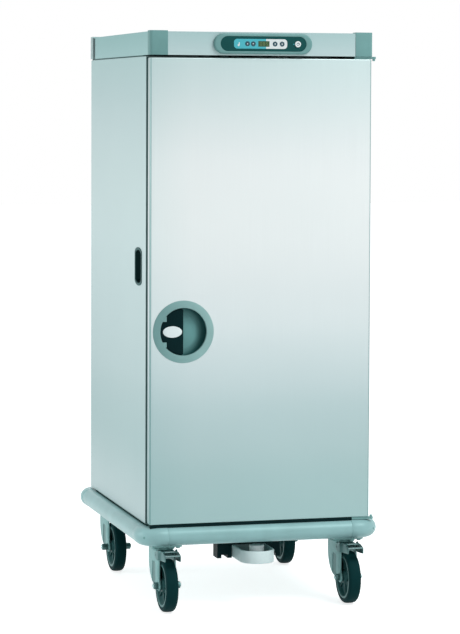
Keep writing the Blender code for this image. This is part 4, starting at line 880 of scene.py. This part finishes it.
def hex_nut(name, place, axis, flat, length):
    """A hexagon nut with a chamfered face."""
    corner = flat / math.cos(math.pi / 6)
    rounds = [(corner * math.cos(math.pi / 3 * i), corner * math.sin(math.pi / 3 * i)) for i in range(6)]
    if axis == "X":
        points = [(place[1] + a, place[2] + b) for a, b in rounds]
        ends = sorted((place[0], place[0] + length))
    else:
        points = [(place[0] + a, place[1] + b) for a, b in rounds]
        ends = sorted((place[2], place[2] + length))
    nut = prism(name, points, axis, ends[0], ends[1])
    return soften(nut, 0.0007, 2, 40)


def dress_castors():
    """Pressed forks, ball races, wheels with recessed hubs, nuts and brake pedals."""
    for name in corner_names:
        roll = Vector(joints["roll_" + name]["pos_m"])
        swivel = Vector(joints["swivel_" + name]["pos_m"])
        dress_fork(name, roll, swivel)
        dress_wheel(name, roll)
        if name.startswith("front"):
            dress_pedal(name, swivel)


def dress_fork(name, roll, swivel):
    """Fork legs with a swept rear edge, a pressed channel with a dark sheet on its floor as painted shade, a front
    bead, the ball race and the axle's nuts.
    """
    body = "castor_" + name
    low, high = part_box("castor_fork_" + name)
    reach = (high.x - low.x) / 2
    inner = 0.0225
    sheet = 0.005
    outer = inner + sheet
    crown = 0.182
    shoulder = 0.150
    rear = swivel.y + 0.070
    front = swivel.y - 0.057
    sweep = [(rear - 0.074 + 0.074 * math.cos(a), shoulder - 0.075 * math.sin(a))
             for a in [math.pi / 2 * k / 20 for k in range(21)]]
    pad = arc((roll.y, roll.z), 0.016, -75, -215, 16)
    side = [(rear, crown)] + sweep + pad + [(front, roll.z + 0.020), (front, shoulder), (swivel.y - 0.045, crown)]
    radii = [0.004] + [0.0] * (len(sweep) + len(pad)) + [0.010, 0.012, 0.003]
    fork = prism("fork_" + name, fillet(side, radii, 6), "X", swivel.x - outer, swivel.x + outer)
    soften(fork, 0.0022, 3, 60)
    cut(fork, box("slot", (swivel.x - inner, roll.y - 0.09, 0.0), (swivel.x + inner, rear + 0.04, crown - sheet)))
    for sign in (-1, 1):
        face = swivel.x + sign * outer
        deep = sorted((face - sign * 0.0015, face + sign * 0.006))
        channel = fillet(rectangle((swivel.y - 0.018, 0.050), (swivel.y + 0.020, 0.146)), 0.010, 6)
        cut(fork, prism("channel", channel, "X", deep[0], deep[1]))
        # A dark sheet on each channel's floor paints the shade inside the pressed channel.
        floor = sorted((face - sign * 0.0018, face - sign * 0.0011))
        channel_shade = prism("fork_channel_%s_%d" % (name, sign > 0), fillet(side, radii, 6), "X", floor[0], floor[1])
        inner_channel = fillet(rectangle((swivel.y - 0.016, 0.040), (swivel.y + 0.018, 0.144)), 0.009, 6)
        combine(channel_shade, "INTERSECT", (prism("channel_floor", inner_channel, "X", floor[0] - 0.01, floor[1] + 0.01),))
        dress(channel_shade, dark_zinc, body, "zinc")
    dress(fork, zinc, body, "zinc", "castor_fork_" + name)
    for sign in (-1, 1):
        face = swivel.x + sign * outer
        bead = tube("fork_bead_%s_%d" % (name, sign > 0),
                    [(face - sign * 0.0006, swivel.y - 0.0485, z) for z in (0.106, 0.1075, 0.140, 0.1415)], 0.0017)
        dress(bead, zinc, body, "zinc")
        nut = hex_nut("axle_nut_%s_%d" % (name, sign > 0), (face + sign * 0.0012, roll.y, roll.z), "X", 0.0096,
                      sign * (reach - outer - 0.0045))
        dress(nut, dark_zinc, body, "zinc")
        washer = revolve("axle_washer_%s_%d" % (name, sign > 0),
                         ((0.0, 0.0014), (0.0122, 0.0014), (0.0126, 0.001), (0.0126, 0.0), (0.0, 0.0)),
                         (face - (0.0 if sign > 0 else 0.0014), roll.y, roll.z), "X", 40)
        dress(washer, zinc, body, "zinc")
    axle = revolve("axle_" + name, ((0.0, reach), (0.0045, reach), (0.006, reach - 0.0015),
                                    (0.006, 0.0015 - reach), (0.0045, -reach), (0.0, -reach)),
                   (swivel.x, roll.y, roll.z), "X", 32)
    dress(axle, chrome, body, "zinc")
    top = high.z
    race = [(0.0, top), (0.0335, top), (0.036, top - 0.002), (0.036, top - 0.0052), (0.0348, top - 0.0060),
            (0.0348, top - 0.0068), (0.036, top - 0.0076), (0.036, crown + 0.003), (0.031, crown - 0.002),
            (0.0, crown - 0.002)]
    dress(revolve("ball_race_" + name, race, (swivel.x, swivel.y, 0.0), "Z", 64), zinc, body, "zinc")


def dress_wheel(name, roll):
    """Rubber tyre with soft shoulders on a hub with a bright rim ring and a dark recessed web."""
    body = "wheel_" + name
    low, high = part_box("castor_tyre_" + name)
    half = (high.x - low.x) / 2
    radius = (high.z - low.z) / 2
    rim = radius - 0.014
    profile = [(rim, half - 0.001), (rim + 0.0015, half)]
    shoulder = 0.0095
    profile += arc((radius - shoulder - 0.0007, half - shoulder), shoulder, 90, 12, 10)
    profile += [(radius - 0.0003, half * 0.40), (radius, 0.0)]
    mirrored = [(r, -h) for r, h in reversed(profile[:-1])]
    tyre = revolve("tyre_" + name, profile + mirrored, roll, "X", 96, True)
    dress(tyre, tyre_black, body, "tyre_rubber", "castor_tyre_" + name)

    bore = 0.0063
    boss = 0.0215
    web = 0.0075
    rim_half = half - 0.0015
    upper = [(bore, boss), (0.0125, boss), (0.0135, boss - 0.001), (0.0135, boss - 0.004), (0.0185, boss - 0.005),
             (0.0195, boss - 0.007), (0.0215, web + 0.002), (0.0245, web), (rim - 0.0135, web - 0.001),
             (rim - 0.011, web + 0.001), (rim - 0.0090, rim_half - 0.0035), (rim - 0.0075, rim_half - 0.0022)]
    upper += [(rim - seam, rim_half - 0.0022)]
    lower = [(r, -h) for r, h in reversed(upper)]
    hub = revolve("hub_" + name, upper + lower, roll, "X", 72, True)
    for i in range(6):
        angle = math.pi * 2 * i / 6 + 0.3
        rib = box("rib", (-web - 0.0045, 0.0175, -0.0016), (web + 0.0045, rim - 0.008, 0.0016))
        rib.data.transform(Matrix.Translation(roll) @ Matrix.Rotation(angle, 4, "X"))
        join(hub, rib)
    dress(hub, hub_grey, body, "hub_plastic", "castor_hub_" + name)
    for sign in (-1, 1):
        ring = [(rim - 0.0078, 0.0), (rim - 0.0072, 0.0022), (rim - 0.0060, 0.0030), (rim - 0.0018, 0.0030),
                (rim - 0.0006, 0.0022), (rim - 0.0004, 0.0)]
        place = Vector(roll) + Vector((sign * (rim_half - 0.0024), 0, 0))
        bright = revolve("rim_ring_%s_%d" % (name, sign > 0), [(r, sign * h) for r, h in ring], place, "X", 96, True)
        dress(bright, rim_grey, body, "hub_plastic")


def dress_pedal(name, swivel):
    """Plated brake pedal: an open bail of two cheeks with a tread, a release bar and a cross pin."""
    body = "pedal_" + name
    pivot = Vector(joints["pedal_press_" + name]["pos_m"])
    low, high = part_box("brake_pedal_" + name)
    sheet = 0.0025
    wide = (high.x - low.x) / 2
    narrow = 0.0245
    tip = low.y
    top = high.z
    front_top = top - 0.007
    bar_y = swivel.y - 0.098
    eye = 0.010
    cheek = [(pivot.y + eye, pivot.z + 0.007), (pivot.y + eye, pivot.z - 0.007), (pivot.y - eye, low.z),
             (tip, 0.163), (tip, front_top), (bar_y, top), (pivot.y - 2 * eye, top), (pivot.y - eye, front_top)]
    pedal = prism("pedal_" + name, fillet(cheek, [0.005, 0.006, 0.006, 0.004, 0.002, 0.012, 0.006, 0.006], 5), "X",
                  swivel.x - wide, swivel.x + wide)

    def plan(inset, reach):
        right = [(wide - inset, pivot.y + reach), (wide - inset, swivel.y - 0.062),
                 (narrow - inset, swivel.y - 0.070), (narrow - inset, tip - reach)]
        outline = [(swivel.x + x, y) for x, y in right] + [(swivel.x - x, y) for x, y in reversed(right)]
        return fillet(outline, [0.0, 0.006, 0.006, 0.0, 0.0, 0.006, 0.006, 0.0], 4)

    combine(pedal, "INTERSECT", (prism("plan", plan(0.0, 0.02), "Z", 0.14, 0.20),))
    cut(pedal, prism("middle", plan(sheet, 0.03), "Z", 0.13, 0.21))
    reach = narrow - sheet / 2
    tread = prism("tread", fillet(rectangle((tip, front_top - 0.003), (tip + 0.016, front_top)), 0.0012, 3), "X",
                  swivel.x - reach, swivel.x + reach)
    bar = prism("bar", fillet(rectangle((bar_y, top - 0.003), (bar_y + 0.010, top)), 0.0012, 3), "X",
                swivel.x - reach, swivel.x + reach)
    half = wide - sheet / 2
    pin = revolve("cross_pin", ((0.0, half + 0.002), (0.0026, half + 0.002), (0.004, half + 0.001),
                                (0.004, -half - 0.001), (0.0026, -half - 0.002), (0.0, -half - 0.002)),
                  (swivel.x, pivot.y, pivot.z), "X", 24)
    join(pedal, tread, bar, pin)
    soften(pedal, 0.0005, 2, 50)
    dress(pedal, dark_zinc, body, "zinc", "brake_pedal_" + name)
    pad = prism("release_pad_" + name, fillet(rectangle((swivel.x - 0.0155, bar_y + 0.0008),
                                                        (swivel.x + 0.0155, bar_y + 0.0092)), 0.002, 4), "Z",
                top - 0.001, top + 0.0012)
    dress(soften(pad, 0.0006, 2, 50), chrome, body, "zinc")
    strip = prism("tread_pad_" + name, fillet(rectangle((swivel.x - 0.0235, tip + 0.0004),
                                                        (swivel.x + 0.0235, tip + 0.0054)), 0.0016, 4), "Z",
                  front_top - 0.001, front_top + 0.0010)
    dress(soften(strip, 0.0005, 2, 50), chrome, body, "zinc")


def dress_tow():
    """Pale hollow arm, white stud and black saddle."""
    low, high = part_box("tow_arm")
    radius = (high.x - low.x) / 2
    wall = 0.005
    arm_top = low.z + 0.038

    def outline(inset):
        nose = arc((0.0, low.y + radius), radius - inset, 180, 360, 40)
        return nose + [(radius - inset, high.y - inset), (-radius + inset, high.y - inset)]

    arm = prism("coupling_arm", outline(0.0), "Z", low.z, arm_top)
    soften(arm, 0.003, 4, 50)
    hollow = prism("hollow", outline(wall), "Z", low.z + wall, arm_top + wall)
    cut(arm, hollow)
    dress(arm, pale, "cabinet", "pale_plastic", "tow_arm")
    stud = 0.023
    top = high.z
    profile = [(0.0, top), (stud - 0.009, top), (stud - 0.0075, top - 0.0006)]
    profile += arc((stud - 0.003, top - 0.0036), 0.003, 90, 0, 6)
    profile += [(stud, low.z + wall), (0.0, low.z + wall)]
    dress(revolve("coupling_stud", profile, (0.0, low.y + radius, 0.0), "Z", 64), white, "cabinet", "white_plastic")
    repaint(black, "tow_bracket", edge=0.0015)


def dress_sill_shade():
    """Black strip on the bumper under the door, up to the hinge, that paints the shade in the gap under the door."""
    end_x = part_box("hinge_leaf_bottom")[0].x - 0.002
    bumper_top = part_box("bumper_rail")[1].z
    section = fillet(rectangle((face_y + 0.0015, bumper_top - 0.0015), (face_y + 0.012, door_low.z - 0.0015)), 0.0015)
    strip = prism("sill_shade_strip", section, "X", -half_width + 0.002, end_x)
    dress(strip, black, "cabinet", "black_plastic")


def dress_gasket():
    """Dark strip in the joint between the casing and the crown, on the sides and the back."""
    inset = 0.003
    width = 0.006
    low_z = casing_high.z + seam
    high_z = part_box("crown_corner_rear_left")[0].z - seam
    front_y = casing_low.y + 0.05
    outer_x = half_width - inset
    back_y = casing_high.y - inset
    outline = [(-outer_x, front_y), (-outer_x + width, front_y), (-outer_x + width, back_y - width),
               (outer_x - width, back_y - width), (outer_x - width, front_y), (outer_x, front_y), (outer_x, back_y),
               (-outer_x, back_y)]
    strip = prism("crown_gasket", fillet(outline, 0.0012, 2), "Z", low_z, high_z)
    dress(strip, rubber, "cabinet", "seal_rubber")


def dress_fasteners():
    """Bolts of the castor plates and screws of the bumper's caps."""
    for name in corner_names:
        swivel = Vector(joints["swivel_" + name]["pos_m"])
        for sign_x in (-1, 1):
            for sign_y in (-1, 1):
                spot = (swivel.x + sign_x * 0.0365, swivel.y + sign_y * 0.044, swivel.z - seam)
                label = "plate_bolt_%s_%d%d" % (name, sign_x > 0, sign_y > 0)
                dress(hex_nut(label, spot, "Z", 0.0060, -0.0045), zinc, "cabinet", "zinc")
        sign_x = 1 if name.endswith("right") else -1
        sign_y = 1 if name.startswith("rear") else -1
        place, out = bumper_stations(sign_x, sign_y, 16)[8]
        reach = bumper_sizes()[5]
        screw = revolve("cap_screw_" + name, ((0.0, 0.0016), (0.0016, 0.0014), (0.0034, 0.0008), (0.0038, 0.0),
                                              (0.0038, -0.002), (0.0, -0.002)), (0, 0, 0), "Z", 32)
        cross = join(box("cross", (-0.0004, -0.0022, 0.0009), (0.0004, 0.0022, 0.003)),
                     box("cross_bar", (-0.0022, -0.0004, 0.0009), (0.0022, 0.0004, 0.003)))
        cut(screw, cross)
        turn = out.to_track_quat("Z", "Y").to_matrix().to_4x4()
        screw.data.transform(Matrix.Translation(place + out * (reach + 0.0006)) @ turn)
        dress(screw, zinc, "cabinet", "zinc")


def seen_directly(tree):
    """One for rays from the camera and for mirrored and see-through rays, which all show the white background."""
    path = tree.nodes.new("ShaderNodeLightPath")
    value = path.outputs["Is Camera Ray"]
    for ray in ("Is Glossy Ray", "Is Transmission Ray"):
        either = tree.nodes.new("ShaderNodeMath")
        either.operation = "MAXIMUM"
        tree.links.new(value, either.inputs[0])
        tree.links.new(path.outputs[ray], either.inputs[1])
        value = either.outputs["Value"]
    return value


def build_stage():
    """Pale floor, soft studio light, a white world and the photograph's camera."""
    floor_half = 30.0
    shape = bmesh.new()
    corners = [shape.verts.new((x, y, -0.0005)) for x, y in rectangle((-floor_half, -floor_half),
                                                                      (floor_half, floor_half))]
    shape.faces.new(corners)
    floor = object_from("studio_floor", shape)
    look, tree, shader = shader_of("pale_floor")
    shader.inputs["Roughness"].default_value = 0.9
    shader.inputs["Specular IOR Level"].default_value = 0.1
    clouds = noise(tree, 0.6)
    tree.links.new(ramp(tree, clouds, (0.80, 0.82, 0.82), (0.84, 0.85, 0.85)), shader.inputs["Base Color"])
    shader.inputs["Emission Color"].default_value = (1.0, 1.0, 1.0, 1.0)
    glow = tree.nodes.new("ShaderNodeMath")
    glow.operation = "MULTIPLY"
    glow.inputs[1].default_value = 0.75
    tree.links.new(seen_directly(tree), glow.inputs[0])
    tree.links.new(glow.outputs["Value"], shader.inputs["Emission Strength"])
    floor.data.materials.append(look)

    world = bpy.data.worlds.new("studio")
    bpy.context.scene.world = world
    world.use_nodes = True
    tree = world.node_tree
    sky = tree.nodes["Background"]
    sky.inputs["Color"].default_value = (0.93, 0.98, 1.0, 1.0)
    sky.inputs["Strength"].default_value = 0.42
    seen = tree.nodes.new("ShaderNodeBackground")
    seen.inputs["Color"].default_value = (1.0, 1.0, 1.0, 1.0)
    seen.inputs["Strength"].default_value = 1.0
    mixed = tree.nodes.new("ShaderNodeMixShader")
    tree.links.new(seen_directly(tree), mixed.inputs["Fac"])
    tree.links.new(sky.outputs["Background"], mixed.inputs[1])
    tree.links.new(seen.outputs["Background"], mixed.inputs[2])
    tree.links.new(mixed.outputs["Shader"], tree.nodes["World Output"].inputs["Surface"])

    target = Vector((0.0, 0.0, 0.9))
    for name, place, size, power in (("key_light", (2.2, -3.4, 4.8), 3.0, 165.0),
                                     ("left_light", (-3.8, 0.5, 1.4), 1.8, 38.0),
                                     ("back_light", (0.8, 3.8, 3.0), 3.2, 40.0)):
        lamp = bpy.data.lights.new(name, "AREA")
        lamp.shape = "DISK"
        lamp.size = size
        lamp.energy = power
        light = bpy.data.objects.new(name, lamp)
        bpy.context.scene.collection.objects.link(light)
        light.location = place
        light.rotation_euler = (target - Vector(place)).to_track_quat("-Z", "Y").to_euler()

    camera = bpy.data.cameras.new("photograph_camera")
    camera.sensor_fit = "AUTO"
    camera.sensor_width = 36.0
    camera.lens = focal_pixels * camera.sensor_width / image_height_pixels
    camera.shift_y = (optical_axis_row_pixels - image_height_pixels / 2) / image_height_pixels
    camera.clip_end = 100.0
    forward = Vector((math.sin(camera_yaw) * math.cos(camera_pitch), math.cos(camera_yaw) * math.cos(camera_pitch),
                      -math.sin(camera_pitch)))
    level = Vector((math.cos(camera_yaw), -math.sin(camera_yaw), 0.0))
    down = forward.cross(level)
    right = math.cos(camera_roll) * level + math.sin(camera_roll) * down
    down = math.cos(camera_roll) * down - math.sin(camera_roll) * level
    turn = Matrix((right, -down, -forward)).transposed()
    shooter = bpy.data.objects.new("photograph_camera", camera)
    bpy.context.scene.collection.objects.link(shooter)
    shooter.matrix_world = Matrix.Translation(camera_place) @ turn.to_4x4()
    bpy.context.scene.camera = shooter
    bpy.context.scene.view_settings.view_transform = "Standard"


build_stage()
dress_cabinet()
dress_door()
dress_latch()
dress_crown()
dress_vents()
dress_grips()
dress_bumper()
dress_castors()
dress_tow()
dress_sill_shade()
dress_gasket()
dress_fasteners()
